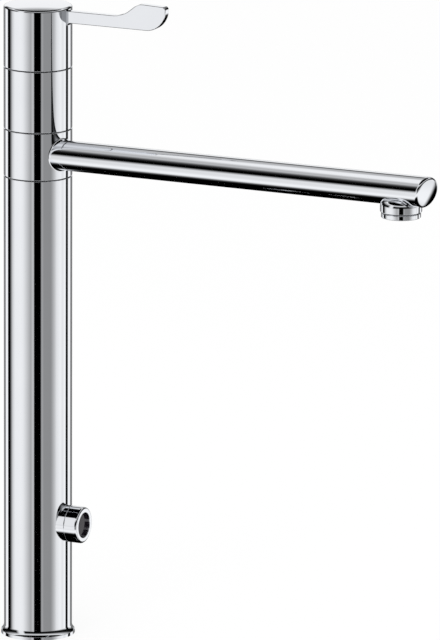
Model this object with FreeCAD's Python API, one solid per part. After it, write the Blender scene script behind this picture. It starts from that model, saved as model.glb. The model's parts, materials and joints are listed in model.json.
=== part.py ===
import FreeCAD, Part

# Tall deck-mounted mixer tap with a presence sensor, as separate pieces.
# The origin is on the deck, on the column's axis. +Z is up, and +X is the front: the lever and the sensor point
# that way. The spout is drawn along +X too, and is then raised and swung to the photographed side. Hot water comes up on the -Y side and cold water on the +Y side. Sizes are in
# millimetres and degrees.

import math
import os

from FreeCAD import Vector

# Fits and edges shared by the whole tap
seam_gap = 0.5
running_clearance = 0.05
seat_clearance = 0.03
edge_round = 0.4
overshoot = 1.0
same_place = 1e-4

# Foot and column
column_radius = 25.0
column_wall = 2.0
column_top = 344.2
flange_overhang = 2.2
flange_rim = 2.6
flange_height = 6.3
flare_fullness = 0.25
foot_seal_width = 2.2
foot_seal_height = 1.8

# Base block with its supplies, stud holes and cable way
block_height = 34.0
supply_inset = 9.0
supply_y = 7.0
inlet_radius = 5.0
inlet_length = 12.0
stud_x = -4.0
stud_inset = 7.0
stud_hole_radius = 3.4
stud_hole_depth = 14.0
cable_inset = 9.0
cable_way_radius = 4.5
grommet_bore = 2.6
grommet_length = 7.0
grommet_inset = 1.0
filter_thickness = 1.0
filter_hole_radius = 0.6
filter_hole_circle = 2.5
filter_holes = 6

# Risers and pipes
riser_radius = 4.0
riser_wall = 0.8
pipe_radius = 3.2
pipe_wall = 0.8
pipe_offset = 6.0
socket_lead = 3.0
riser_grip = 9.0
pipe_grip = 9.5
riser_seal_section = 0.7
pipe_seal_section = 0.6

# Check valves
check_radius = 4.5
check_socket_gap = 1.0
check_bore = 3.2
check_end_wall = 1.3
check_seat_radius = 2.0
poppet_radius = 2.8
poppet_thickness = 1.2
poppet_stem_radius = 1.0
poppet_stem_length = 5.0
check_coil_radius = 2.1
check_wire_radius = 0.25
check_coil_turns = 5

# Sensor on the column's side
sensor_height = 85.0
sensor_radius = 13.4
sleeve_length = 2.8
bezel_length = 10.2
sensor_nose_round = 1.6
bezel_wall = 2.0
bezel_lip = 2.2
lens_ledge = 2.15
thread_wall = 1.8
sensor_thread_length = 5.0
gasket_thickness = 0.8
capsule_wall = 1.2
capsule_length = 18.55
capsule_nozzle_radius = 2.4
capsule_nozzle_length = 4.0
board_thickness = 1.6
board_setback = 8.0
diode_radius = 2.5
diode_length = 5.9
diode_spacing = 8.0

# Solenoid valve inside the column
valve_inset = 9.0
valve_height = 34.0
valve_gap = 4.0
valve_wall_gap = 1.0
chamber_wall = 5.0
chamber_height = 5.0
valve_seat_radius = 5.0
valve_seat_bore = 3.4
valve_seat_height = 3.0
valve_passage = 2.4
cross_drilling_rise = 10.0
diaphragm_lap = 0.8
diaphragm_thickness = 1.5
diaphragm_hub_radius = 6.0
bonnet_flange = 6.0
pilot_chamber_step = 1.0
pilot_chamber_height = 3.5
guide_wall = 0.8
guide_length = 36.0
guide_floor = 2.0
plunger_radius = 4.1
plunger_clearance = 0.08
plunger_tip_radius = 2.0
plunger_tip_length = 2.4
solenoid_spring_length = 6.0
solenoid_coil_turns = 4
solenoid_wire_radius = 0.35
frame_screw_gap = 0.15
coil_height = 26.0
frame_wall = 0.9
bonnet_screws = 4
bonnet_screw_inset = 2.0
bonnet_screw_radius = 1.25
bonnet_screw_head = 2.0
bonnet_screw_grip = 6.0

# Fixed core that carries the spout ring and the head
plug_length = 33.0
ring_wall = 6.0
neck_step = 1.5
neck_length = 9.8
core_bore = 2.6
swivel_seal_section = 1.0
swivel_groove_width = 2.4
lower_seal_height = 6.0
water_groove_height = 11.5
water_groove_width = 12.0
upper_seal_height = 26.6
washer_edge = 2.2
washer_recess = 1.0
stop_pin_radius = 1.2
stop_pin_height = 3.1
stop_pin_seat = 3.6
stop_pin_stand = 2.0
stop_play = 0.5
spout_swing = 70.0
head_seal_section = 0.8
head_seal_height = 4.0

# Spout ring and spout
ring_height = 34.7
spout_height_in_ring = 16.0
spout_rise = 4.4
spout_turn = -18.5
spout_radius = 11.0
spout_wall = 1.4
spout_root_length = 11.0
spout_root_round = 1.5
spout_nose_length = 8.0
spout_port = 7.0
outlet_x = 361.0
outlet_hole = 6.8
spout_overhang = 25.0
spout_end_tilt = 17.0
end_plug_dome = 90.0
end_plug_crown = 0.6
end_plug_round = 2.0
end_plug_margin = 0.4

# Outlet collar and aerator, measured down from the spout's axis
collar_radius = 14.8
collar_wall = 2.8
collar_shoulder = 5.0
collar_side_height = 11.0
collar_bottom = 16.0
collar_chamfer = 1.0
aerator_step = 0.8
aerator_bottom = 19.3
aerator_wall = 2.0
aerator_seal_thickness = 0.6
aerator_thread_depth = 3.4
straightener_vanes = 6
vane_thickness = 0.8
straightener_setback = 1.0

# Head and cartridge
head_height = 45.0
head_wall = 5.0
port_groove_outer = 4.4
port_seal_section = 0.7
port_radius = 2.6
cartridge_base_height = 6.0
cartridge_slack = 0.1
cartridge_wall = 1.5
cartridge_ceiling = 5.5
disc_slack = 0.3
disc_thickness = 3.0
disc_rim = 0.8
kidney_width = 5.2
kidney_start = 15.0
kidney_sweep = 40.0
outlet_port = 3.0
outlet_channel_depth = 2.0
fan_half_angle = 35.0
fan_depth = 1.6
fan_margin = 0.8
pool_margin = 1.0
stem_flange_height = 4.5
stem_flange_clearance = 1.0
stem_hub_radius = 8.05
stem_hub_length = 5.7
stem_shaft_radius = 5.0
stem_shaft_length = 4.8
stem_hexagon = 8.6
stem_hexagon_length = 25.0
stem_seal_section = 0.5
nut_bore_clearance = 0.95
nut_height = 7.0
nut_slots = 4
nut_slot_length = 4.6
nut_slot_width = 4.0
nut_slot_depth = 3.0
limit_peg_radius = 1.5
limit_peg_height = 3.0
limiter_radius = 9.8
limiter_lug_radius = 14.0
limiter_lug_half_angle = 7.0
limiter_thickness = 3.2
limiter_lift = 0.3
lever_turn = 45.0

# Lever: hub cap, arm and paddle
hub_height = 45.1
hub_wall = 3.5
hub_roof = 6.3
hub_edge = 2.0
hub_crown = 1.0
boss_radius = 9.0
boss_lift = 2.3
socket_spare = 2.0
grub_screw_radius = 2.5
grub_screw_rise = 8.3
grub_screw_drive = 2.5
access_radius = 3.0
arm_drop = 2.4
arm_height = 8.8
arm_thickness = 6.0
arm_edge = 1.5
arm_root_round = 3.0
arm_root_sink = 0.2
arm_straight_end = 61.5
neck_curve = 22.0
neck_slope = 38.0
shoulder_curve = 12.0
paddle_rise = 10.1
paddle_fall = 2.0
paddle_corner = 2.5
paddle_length = 42.8

# Heights and radii that follow from the sizes above
column_bore = column_radius - column_wall
flange_radius = column_radius + flange_overhang
spigot_radius = column_radius - ring_wall
neck_radius = spigot_radius - neck_step
supply_x = spigot_radius - supply_inset
stud_y = column_bore - stud_inset
cable_x = cable_inset - column_bore
foot_seal_radius = (column_bore + flange_radius) / 2
plug_bottom = column_top - plug_length
ring_bottom = column_top + seam_gap
ring_top = ring_bottom + ring_height
head_bottom = ring_top + seam_gap
head_top = head_bottom + head_height
hub_bottom = head_top + seam_gap
hub_top = hub_bottom + hub_height
spout_z = ring_bottom + spout_height_in_ring
spout_root_reach = column_radius + spout_root_length
spout_bore = spout_radius - spout_wall
outlet_z = spout_z + outlet_x * math.tan(math.radians(spout_rise))
outlet_reach = outlet_x / math.cos(math.radians(spout_rise))
spout_tube_end = outlet_reach + outlet_hole + end_plug_margin
spout_end_x = outlet_reach + spout_overhang
washer_inner = spigot_radius + 4 * running_clearance
washer_outer = column_radius - washer_edge
stop_pin_reach = spigot_radius + stop_pin_stand
aerator_thread = collar_radius - collar_wall
aerator_bore = aerator_thread - aerator_wall
aerator_radius = collar_radius - aerator_step
neck_top = head_bottom + neck_length
head_bore = neck_radius + 2 * seat_clearance
cartridge_radius = neck_radius - cartridge_slack
cartridge_bore = cartridge_radius - cartridge_wall
disc_radius = cartridge_bore - disc_slack
moving_radius = disc_radius - 4 * running_clearance
kidney_outer = disc_radius - disc_rim
kidney_inner = kidney_outer - kidney_width
disc_bottom = neck_top + cartridge_base_height
moving_disc_bottom = disc_bottom + disc_thickness
stem_bottom = moving_disc_bottom + disc_thickness
stem_flange_top = stem_bottom + stem_flange_height
housing_ceiling = stem_flange_top + stem_flange_clearance
nut_radius = column_radius - head_wall
nut_bore = stem_hub_radius + nut_bore_clearance
nut_bottom = housing_ceiling + cartridge_ceiling
nut_top = nut_bottom + nut_height
limit_peg_circle = limiter_lug_radius - limit_peg_radius
limiter_bottom = nut_top + limiter_lift
hexagon_bottom = stem_flange_top + stem_hub_length + stem_shaft_length
stem_top = hexagon_bottom + stem_hexagon_length
boss_bottom = hub_bottom + boss_lift
hub_bore = column_radius - hub_wall
hub_ceiling = hub_top - hub_roof
grub_screw_z = boss_bottom + grub_screw_rise
lever_reach = arm_straight_end + paddle_length
valve_radius = column_bore - valve_inset
valve_x = valve_radius + valve_wall_gap - column_bore
chamber_radius = valve_radius - chamber_wall
diaphragm_radius = chamber_radius + diaphragm_lap
pilot_chamber_radius = chamber_radius - pilot_chamber_step
valve_top = plug_bottom - valve_gap
valve_bottom = valve_top - valve_height
bonnet_bottom = valve_bottom - bonnet_flange
bonnet_screw_circle = valve_radius - bonnet_screw_inset
guide_bore = plunger_radius + plunger_clearance
guide_radius = guide_bore + guide_wall
guide_bottom = valve_bottom - guide_length
guide_inner_floor = guide_bottom + guide_floor
coil_bore = guide_radius + running_clearance
frame_radius = bonnet_screw_circle - bonnet_screw_head - frame_screw_gap
coil_radius = frame_radius - frame_wall - running_clearance
plunger_bottom = guide_inner_floor + solenoid_spring_length
check_bottom = inlet_length + filter_thickness
check_seat_top = check_bottom + check_end_wall
poppet_top = check_seat_top + poppet_thickness
riser_socket_bottom = block_height - riser_grip
check_top = riser_socket_bottom - check_socket_gap
check_ceiling = check_top - check_end_wall
supplies = {"hot": (supply_x, -supply_y), "cold": (supply_x, supply_y)}
valve_pipes = {"mixed_water": (valve_x, pipe_offset), "delivery": (valve_x, -pipe_offset)}
sleeve_reach = column_radius + sleeve_length
sensor_reach = sleeve_reach + bezel_length
sensor_thread_radius = sensor_radius - bezel_wall
sensor_bore = sensor_thread_radius - thread_wall
bezel_opening = sensor_thread_radius - lens_ledge
capsule_radius = sensor_bore - 2 * running_clearance
lens_back = sleeve_reach + sensor_thread_length + gasket_thickness
lens_front = sensor_reach - bezel_lip
capsule_front = lens_back - running_clearance
capsule_back = capsule_front - capsule_length


def cylinder(radius, low, high, x=0.0, y=0.0):
    """Upright cylinder between two heights."""
    return Part.makeCylinder(radius, high - low, Vector(x, y, low))


def ring(outer, inner, low, high, x=0.0, y=0.0):
    """Upright tube between two heights."""
    bore = cylinder(inner, low - overshoot, high + overshoot, x, y)
    return cylinder(outer, low, high, x, y).cut(bore)


def rod(radius, start, end, z, y=0.0):
    """Cylinder along +X."""
    return Part.makeCylinder(radius, end - start, Vector(start, y, z), Vector(1, 0, 0))


def hollow_rod(outer, inner, start, end, z, y=0.0):
    """Tube along +X."""
    return rod(outer, start, end, z, y).cut(rod(inner, start - overshoot, end + overshoot, z, y))


def box(low, high):
    """Box between two opposite corners."""
    size = Vector(*high) - Vector(*low)
    return Part.makeBox(size.x, size.y, size.z, Vector(*low))


def sector(outer, inner, low, high, middle, half_angle):
    """Part of an upright tube, to each side of the direction middle."""
    wedge = Part.makeCylinder(outer, high - low, Vector(0, 0, low), Vector(0, 0, 1), 2 * half_angle)
    wedge.rotate(Vector(0, 0, 0), Vector(0, 0, 1), middle - half_angle)
    if inner > 0:
        wedge = wedge.cut(cylinder(inner, low - overshoot, high + overshoot))
    return wedge


def hexagon(across_flats, low, high):
    """Upright hexagonal bar with flats to the front and the back."""
    corner = across_flats / 2 / math.cos(math.radians(30))
    angles = [math.radians(30 + 60 * step) for step in range(7)]
    points = [Vector(corner * math.cos(angle), corner * math.sin(angle), low) for angle in angles]
    return Part.Face(Part.makePolygon(points)).extrude(Vector(0, 0, high - low))


def o_ring(pipe, section, z, x=0.0, y=0.0):
    """Seal round a pipe, a hair thinner than the groove that holds it."""
    return Part.makeTorus(pipe + section, section - seat_clearance, Vector(x, y, z))


def outline(start, *moves):
    """Closed face in the XZ plane. A move is an end point, or a point on an arc and the arc's end."""
    here = Vector(start[0], 0, start[1])
    first = here
    edges = []
    for move in moves:
        points = [Vector(x, 0, z) for x, z in zip(move[0::2], move[1::2])]
        if len(points) == 1:
            edges.append(Part.LineSegment(here, points[0]).toShape())
        else:
            edges.append(Part.Arc(here, points[0], points[1]).toShape())
        here = points[-1]
    edges.append(Part.LineSegment(here, first).toShape())
    return Part.Face(Part.Wire(edges))


def turned(face):
    """Solid of revolution about the column's axis."""
    return face.revolve(Vector(0, 0, 0), Vector(0, 0, 1), 360)


def on_arc(centre, radius, angle):
    """Point of a circle in the XZ plane, as (x, z)."""
    turn = math.radians(angle)
    return centre[0] + radius * math.cos(turn), centre[1] + radius * math.sin(turn)


def circles(shape, radius, place, along="z"):
    """Circular edges of a radius whose centres lie at a place along an axis."""
    found = []
    for edge in shape.Edges:
        if isinstance(edge.Curve, Part.Circle):
            same_radius = abs(edge.Curve.Radius - radius) < same_place
            if same_radius and abs(getattr(edge.Curve.Center, along) - place) < same_place:
                found.append(edge)
    return found


def break_edges(shape, radius, *heights):
    """Round the outer edges of a turned piece at the named heights."""
    edges = [edge for height in heights for edge in circles(shape, radius, height)]
    return shape.makeFillet(edge_round, edges)


def coil_spring(coil_radius_mm, wire, low, high, turns, x=0.0, y=0.0):
    """Round-wire spring standing between two heights."""
    height = high - low - 2 * wire
    path = Part.makeHelix(height / turns, height, coil_radius_mm)
    path.translate(Vector(x, y, low + wire))
    start = Vector(x + coil_radius_mm, y, low + wire)
    section = Part.Wire(Part.Circle(start, Vector(0, 1, 0), wire).toShape())
    return Part.Wire(path).makePipeShell([section], True, True)


def pipe_socket(pipe, section, mouth, depth, x, y):
    """Tool that cuts a blind pipe socket with its seal groove. A negative depth goes down from the mouth."""
    way = math.copysign(1, depth)
    far = mouth + depth
    near = mouth - way * overshoot
    groove_near = mouth + way * socket_lead
    groove_far = groove_near + way * 3 * section
    bore = cylinder(pipe + seat_clearance, min(near, far), max(near, far), x, y)
    groove = cylinder(pipe + 2 * section, min(groove_near, groove_far), max(groove_near, groove_far), x, y)
    return bore.fuse(groove)


def socket_seal(pipe, section, mouth, depth, x, y):
    """Seal in the middle of that socket's groove."""
    way = math.copysign(1, depth)
    return o_ring(pipe, section, mouth + way * (socket_lead + 1.5 * section), x, y)


def save(name, shape):
    """Write one sub-part and say what it holds."""
    if not shape.isValid():
        print(name, "is not valid")
    shape.exportStep(os.path.join("parts", name + ".step"))
    bounds = shape.BoundBox
    corners = [bounds.XMin, bounds.YMin, bounds.ZMin, bounds.XMax, bounds.YMax, bounds.ZMax]
    rounded = [round(value, 2) for value in corners]
    print(name, len(shape.Solids), "solids", round(shape.Volume), "mm3", rounded)


def make_foot():
    """Flared chrome flange with a flat seal let into its underside."""
    flare_foot = (flange_radius - edge_round, flange_rim)
    flare_middle = (column_radius + flare_fullness * flange_overhang, (flange_rim + flange_height) / 2)
    flange = turned(outline(
        (column_bore, 0.0),
        (flange_radius, 0.0),
        (flange_radius, flange_rim - edge_round),
        (*on_arc((flange_radius - edge_round, flange_rim - edge_round), edge_round, 45), *flare_foot),
        (*flare_middle, column_radius, flange_height),
        (column_bore, flange_height),
    ))
    seal_outer = foot_seal_radius + foot_seal_width / 2
    seal_inner = foot_seal_radius - foot_seal_width / 2
    groove = ring(seal_outer + seat_clearance, seal_inner - seat_clearance, -overshoot, foot_seal_height)
    save("base_flange", flange.cut(groove))
    save("foot_seal", ring(seal_outer, seal_inner, 0.0, foot_seal_height))


def make_base_block():
    """Brass block that plugs the column's foot: inlets, check-valve chambers, stud holes and cable way."""
    block = cylinder(column_bore - seat_clearance, 0.0, block_height)
    for x, y in supplies.values():
        chamber = check_radius + running_clearance
        chamber_top = riser_socket_bottom + seat_clearance
        block = block.cut(cylinder(inlet_radius, -overshoot, inlet_length, x, y))
        block = block.cut(cylinder(chamber, inlet_length - overshoot, chamber_top, x, y))
        block = block.cut(pipe_socket(riser_radius, riser_seal_section, block_height, -riser_grip, x, y))
    for side in (-1, 1):
        block = block.cut(cylinder(stud_hole_radius, -overshoot, stud_hole_depth, stud_x, side * stud_y))
    block = block.cut(cylinder(cable_way_radius, -overshoot, block_height + overshoot, cable_x))
    save("base_block", block)
    grommet_outer = cable_way_radius - seat_clearance
    grommet_top = grommet_inset + grommet_length
    save("cable_grommet", ring(grommet_outer, grommet_bore, grommet_inset, grommet_top, cable_x))


def make_column():
    """Chrome tube with the sensor's hole low on its front."""
    column = ring(column_radius, column_bore, flange_height, column_top)
    column = break_edges(column, column_radius, column_top)
    sensor_hole = rod(sensor_bore, 0.0, 2 * column_radius, sensor_height)
    save("column_tube", column.cut(sensor_hole))


def make_supplies():
    """Filters, check valves, risers and their seals, once for hot and once for cold."""
    filters, bodies, seals = [], [], []
    for name, (x, y) in supplies.items():
        mesh = cylinder(check_radius, inlet_length, check_bottom, x, y)
        for step in range(filter_holes):
            turn = math.radians(360 * step / filter_holes)
            hole_x = x + filter_hole_circle * math.cos(turn)
            hole_y = y + filter_hole_circle * math.sin(turn)
            mesh = mesh.cut(cylinder(filter_hole_radius, 0.0, 2 * check_bottom, hole_x, hole_y))
        filters.append(mesh.cut(cylinder(filter_hole_radius, 0.0, 2 * check_bottom, x, y)))

        body = cylinder(check_radius, check_bottom, check_top, x, y)
        body = body.cut(cylinder(check_bore, check_seat_top, check_ceiling, x, y))
        body = body.cut(cylinder(check_seat_radius, 0.0, 2 * check_top, x, y))
        bodies.append(body)

        poppet = cylinder(poppet_radius, check_seat_top, poppet_top, x, y)
        stem = cylinder(poppet_stem_radius, poppet_top, poppet_top + poppet_stem_length, x, y)
        save(name + "_check_poppet", poppet.fuse(stem).removeSplitter())
        spring = coil_spring(check_coil_radius, check_wire_radius, poppet_top, check_ceiling,
                             check_coil_turns, x, y)
        save(name + "_check_spring", spring)

        riser_bottom = riser_socket_bottom + 2 * running_clearance
        riser_top = plug_bottom + riser_grip - 2 * running_clearance
        save(name + "_riser", ring(riser_radius, riser_radius - riser_wall, riser_bottom, riser_top, x, y))
        seals.append(socket_seal(riser_radius, riser_seal_section, block_height, -riser_grip, x, y))
        seals.append(socket_seal(riser_radius, riser_seal_section, plug_bottom, riser_grip, x, y))
    save("inlet_filters", Part.makeCompound(filters))
    save("check_valve_bodies", Part.makeCompound(bodies))
    save("riser_seals", Part.makeCompound(seals))


def make_sensor():
    """Sleeve brazed to the column, screwed bezel, dark lens and the infrared capsule behind it."""
    thread_end = sleeve_reach + sensor_thread_length
    sleeve = rod(sensor_radius, 0.0, sleeve_reach, sensor_height)
    sleeve = sleeve.makeFillet(edge_round, circles(sleeve, sensor_radius, sleeve_reach, "x"))
    sleeve = sleeve.fuse(rod(sensor_thread_radius, 0.0, thread_end, sensor_height))
    sleeve = sleeve.cut(rod(sensor_bore, -overshoot, thread_end + overshoot, sensor_height))
    column = cylinder(column_radius + seat_clearance, 0.0, 2 * sensor_height)
    save("sensor_sleeve", largest(sleeve.cut(column)))

    bezel = rod(sensor_radius, sleeve_reach, sensor_reach, sensor_height)
    bezel = bezel.makeFillet(edge_round, circles(bezel, sensor_radius, sleeve_reach, "x"))
    bezel = bezel.makeFillet(sensor_nose_round, circles(bezel, sensor_radius, sensor_reach, "x"))
    bezel = bezel.cut(rod(sensor_thread_radius + seat_clearance, 0.0, lens_front, sensor_height))
    bezel = bezel.cut(rod(bezel_opening, 0.0, 2 * sensor_reach, sensor_height))
    bezel = bezel.makeFillet(edge_round, circles(bezel, bezel_opening, sensor_reach, "x"))
    save("sensor_bezel", bezel)

    disc = sensor_thread_radius - seat_clearance
    gasket_bore = capsule_radius + running_clearance
    save("lens_gasket", hollow_rod(disc, gasket_bore, thread_end, lens_back, sensor_height))
    save("sensor_lens", rod(disc, lens_back, lens_front, sensor_height))

    capsule = rod(capsule_radius, capsule_back, capsule_front, sensor_height)
    inner = capsule_radius - capsule_wall
    capsule = capsule.cut(rod(inner, capsule_back + capsule_wall, capsule_front + overshoot, sensor_height))
    nozzle_start = capsule_back - capsule_nozzle_length
    capsule = capsule.fuse(rod(capsule_nozzle_radius, nozzle_start, capsule_back, sensor_height))
    cable_hole = capsule_nozzle_radius - capsule_wall / 2
    cable_way_end = capsule_back + 2 * capsule_wall
    capsule = capsule.cut(rod(cable_hole, nozzle_start - overshoot, cable_way_end, sensor_height))
    save("sensor_capsule", capsule)

    board_front = lens_back - board_setback
    board = rod(inner - running_clearance, board_front - board_thickness, board_front, sensor_height)
    save("sensor_board", board)
    diode_tip = board_front + diode_length
    save("ir_emitter", rod(diode_radius, board_front, diode_tip, sensor_height, -diode_spacing / 2))
    save("ir_receiver", rod(diode_radius, board_front, diode_tip, sensor_height, diode_spacing / 2))


def largest(shape):
    """The biggest solid of a cut piece."""
    return max(shape.Solids, key=lambda solid: solid.Volume)


def make_solenoid():
    """Pilot-operated solenoid valve that hangs from two pipes inside the column."""
    body = cylinder(valve_radius, valve_bottom, valve_top, valve_x)
    chamber_top = valve_bottom + chamber_height
    seat_bottom = chamber_top - valve_seat_height
    cross_z = seat_bottom + cross_drilling_rise
    chamber = cylinder(chamber_radius, valve_bottom - overshoot, chamber_top, valve_x)
    seat = cylinder(valve_seat_radius, seat_bottom, chamber_top + overshoot, valve_x)
    body = body.cut(chamber.cut(seat))
    body = body.cut(cylinder(valve_seat_bore, seat_bottom - overshoot, chamber_top, valve_x))
    body = body.cut(cylinder(valve_passage, seat_bottom, cross_z + valve_passage, valve_x))
    cross = Part.makeCylinder(valve_passage, pipe_offset, Vector(valve_x, 0, cross_z), Vector(0, -1, 0))
    body = body.cut(cross)
    mixed_x, mixed_y = valve_pipes["mixed_water"]
    delivery_x, delivery_y = valve_pipes["delivery"]
    body = body.cut(cylinder(valve_passage, chamber_top - overshoot, valve_top, mixed_x, mixed_y))
    body = body.cut(cylinder(valve_passage, cross_z, valve_top, delivery_x, delivery_y))
    seals = []
    for name, (x, y) in valve_pipes.items():
        body = body.cut(pipe_socket(pipe_radius, pipe_seal_section, valve_top, -pipe_grip, x, y))
        pipe_bottom = valve_top - pipe_grip + 2 * running_clearance
        pipe_top = plug_bottom + pipe_grip - 2 * running_clearance
        save(name + "_pipe", ring(pipe_radius, pipe_radius - pipe_wall, pipe_bottom, pipe_top, x, y))
        seals.append(socket_seal(pipe_radius, pipe_seal_section, valve_top, -pipe_grip, x, y))
        seals.append(socket_seal(pipe_radius, pipe_seal_section, plug_bottom, pipe_grip, x, y))
    save("pipe_seals", Part.makeCompound(seals))

    diaphragm = cylinder(diaphragm_radius, valve_bottom - diaphragm_thickness, valve_bottom, valve_x)
    hub = cylinder(diaphragm_hub_radius, valve_bottom, seat_bottom, valve_x)
    save("diaphragm", diaphragm.fuse(hub).removeSplitter())

    bonnet = cylinder(valve_radius, bonnet_bottom, valve_bottom, valve_x)
    recess_bottom = valve_bottom - diaphragm_thickness
    recess = cylinder(diaphragm_radius + seat_clearance, recess_bottom, valve_bottom + overshoot, valve_x)
    pilot_bottom = recess_bottom - pilot_chamber_height
    pilot = cylinder(pilot_chamber_radius, pilot_bottom, recess_bottom + overshoot, valve_x)
    guide = cylinder(guide_radius, guide_bottom, bonnet_bottom, valve_x)
    bonnet = bonnet.fuse(guide).cut(recess).cut(pilot)
    bonnet = bonnet.cut(cylinder(guide_bore, guide_inner_floor, valve_bottom, valve_x))
    screws = []
    for step in range(bonnet_screws):
        turn = 2 * math.pi * (step + 0.5) / bonnet_screws
        x = valve_x + bonnet_screw_circle * math.cos(turn)
        y = bonnet_screw_circle * math.sin(turn)
        hole_top = valve_bottom + bonnet_screw_grip
        hole = cylinder(bonnet_screw_radius + seat_clearance, bonnet_bottom - overshoot, hole_top, x, y)
        bonnet = bonnet.cut(hole)
        body = body.cut(hole)
        shank = cylinder(bonnet_screw_radius, bonnet_bottom, hole_top - running_clearance, x, y)
        head = cylinder(bonnet_screw_head, bonnet_bottom - bonnet_screw_head, bonnet_bottom, x, y)
        screws.append(shank.fuse(head).removeSplitter())
    save("solenoid_valve_body", body)
    save("solenoid_bonnet", bonnet)
    save("bonnet_screws", Part.makeCompound(screws))

    coil_top = bonnet_bottom - running_clearance
    coil_bottom = coil_top - coil_height
    save("solenoid_coil", ring(coil_radius, coil_bore, coil_bottom, coil_top, valve_x))
    can_bottom = coil_bottom - running_clearance
    can_inner = coil_radius + running_clearance
    can = ring(frame_radius, can_inner, can_bottom, bonnet_bottom, valve_x)
    plate = ring(frame_radius, coil_bore, can_bottom - frame_wall, can_bottom, valve_x)
    save("solenoid_frame", can.fuse(plate).removeSplitter())

    tip_top = recess_bottom - running_clearance
    plunger_top = tip_top - plunger_tip_length
    plunger = cylinder(plunger_radius, plunger_bottom, plunger_top, valve_x)
    tip = cylinder(plunger_tip_radius, plunger_top, tip_top, valve_x)
    save("solenoid_plunger", plunger.fuse(tip).removeSplitter())
    spring = coil_spring(plunger_radius - 2 * solenoid_wire_radius, solenoid_wire_radius, guide_inner_floor,
                         plunger_bottom, solenoid_coil_turns, valve_x)
    save("solenoid_spring", spring)


def make_core():
    """Fixed core: a plug in the column's top, a spigot for the spout ring and a neck for the head."""
    core = cylinder(column_bore - seat_clearance, plug_bottom, column_top)
    core = core.fuse(cylinder(spigot_radius, column_top, head_bottom))
    core = core.fuse(cylinder(neck_radius, head_bottom, neck_top)).removeSplitter()
    for x, y in supplies.values():
        core = core.cut(cylinder(core_bore, plug_bottom, neck_top + overshoot, x, y))
        core = core.cut(pipe_socket(riser_radius, riser_seal_section, plug_bottom, riser_grip, x, y))
    mixed_x, mixed_y = valve_pipes["mixed_water"]
    delivery_x, delivery_y = valve_pipes["delivery"]
    water_z = column_top + water_groove_height + water_groove_width / 2
    core = core.cut(cylinder(core_bore, plug_bottom, neck_top + overshoot, mixed_x, mixed_y))
    core = core.cut(cylinder(core_bore, plug_bottom, water_z, delivery_x, delivery_y))
    cross_start = Vector(delivery_x, delivery_y, water_z)
    outward = Vector(delivery_x, delivery_y, 0)
    core = core.cut(Part.makeCylinder(core_bore, spigot_radius, cross_start, outward))
    for x, y in valve_pipes.values():
        core = core.cut(pipe_socket(pipe_radius, pipe_seal_section, plug_bottom, pipe_grip, x, y))

    groove_floor = spigot_radius - 2 * swivel_seal_section
    water_bottom = column_top + water_groove_height
    grooves = [(water_bottom, water_bottom + water_groove_width)]
    seal_heights = [column_top + lower_seal_height, column_top + upper_seal_height]
    grooves += [(low, low + swivel_groove_width) for low in seal_heights]
    for low, high in grooves:
        core = core.cut(ring(spigot_radius + overshoot, groove_floor, low, high))
    middles = [low + swivel_groove_width / 2 for low in seal_heights]
    seals = [Part.makeTorus(spigot_radius - swivel_seal_section, swivel_seal_section, Vector(0, 0, z))
             for z in middles]
    save("swivel_seals", Part.makeCompound(seals))

    head_seal_low = head_bottom + head_seal_height
    head_groove = head_bore - 2 * head_seal_section
    head_seal_top = head_seal_low + 3 * head_seal_section
    core = core.cut(ring(neck_radius + overshoot, head_groove, head_seal_low, head_seal_top))
    save("head_seal", o_ring(head_groove, head_seal_section, (head_seal_low + head_seal_top) / 2))

    pin_z = column_top + stop_pin_height
    pin_seat = spigot_radius - stop_pin_seat
    hole = rod(stop_pin_radius + seat_clearance, -spigot_radius - overshoot, -pin_seat, pin_z)
    save("spigot_body", core.cut(hole))
    save("swivel_stop_pin", rod(stop_pin_radius, -stop_pin_reach, -pin_seat - seat_clearance, pin_z))

    thickness = washer_recess + seam_gap - running_clearance
    save("lower_washer", ring(washer_outer, washer_inner, column_top, column_top + thickness))
    save("upper_washer", ring(washer_outer, washer_inner, head_bottom - thickness, head_bottom))


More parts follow.
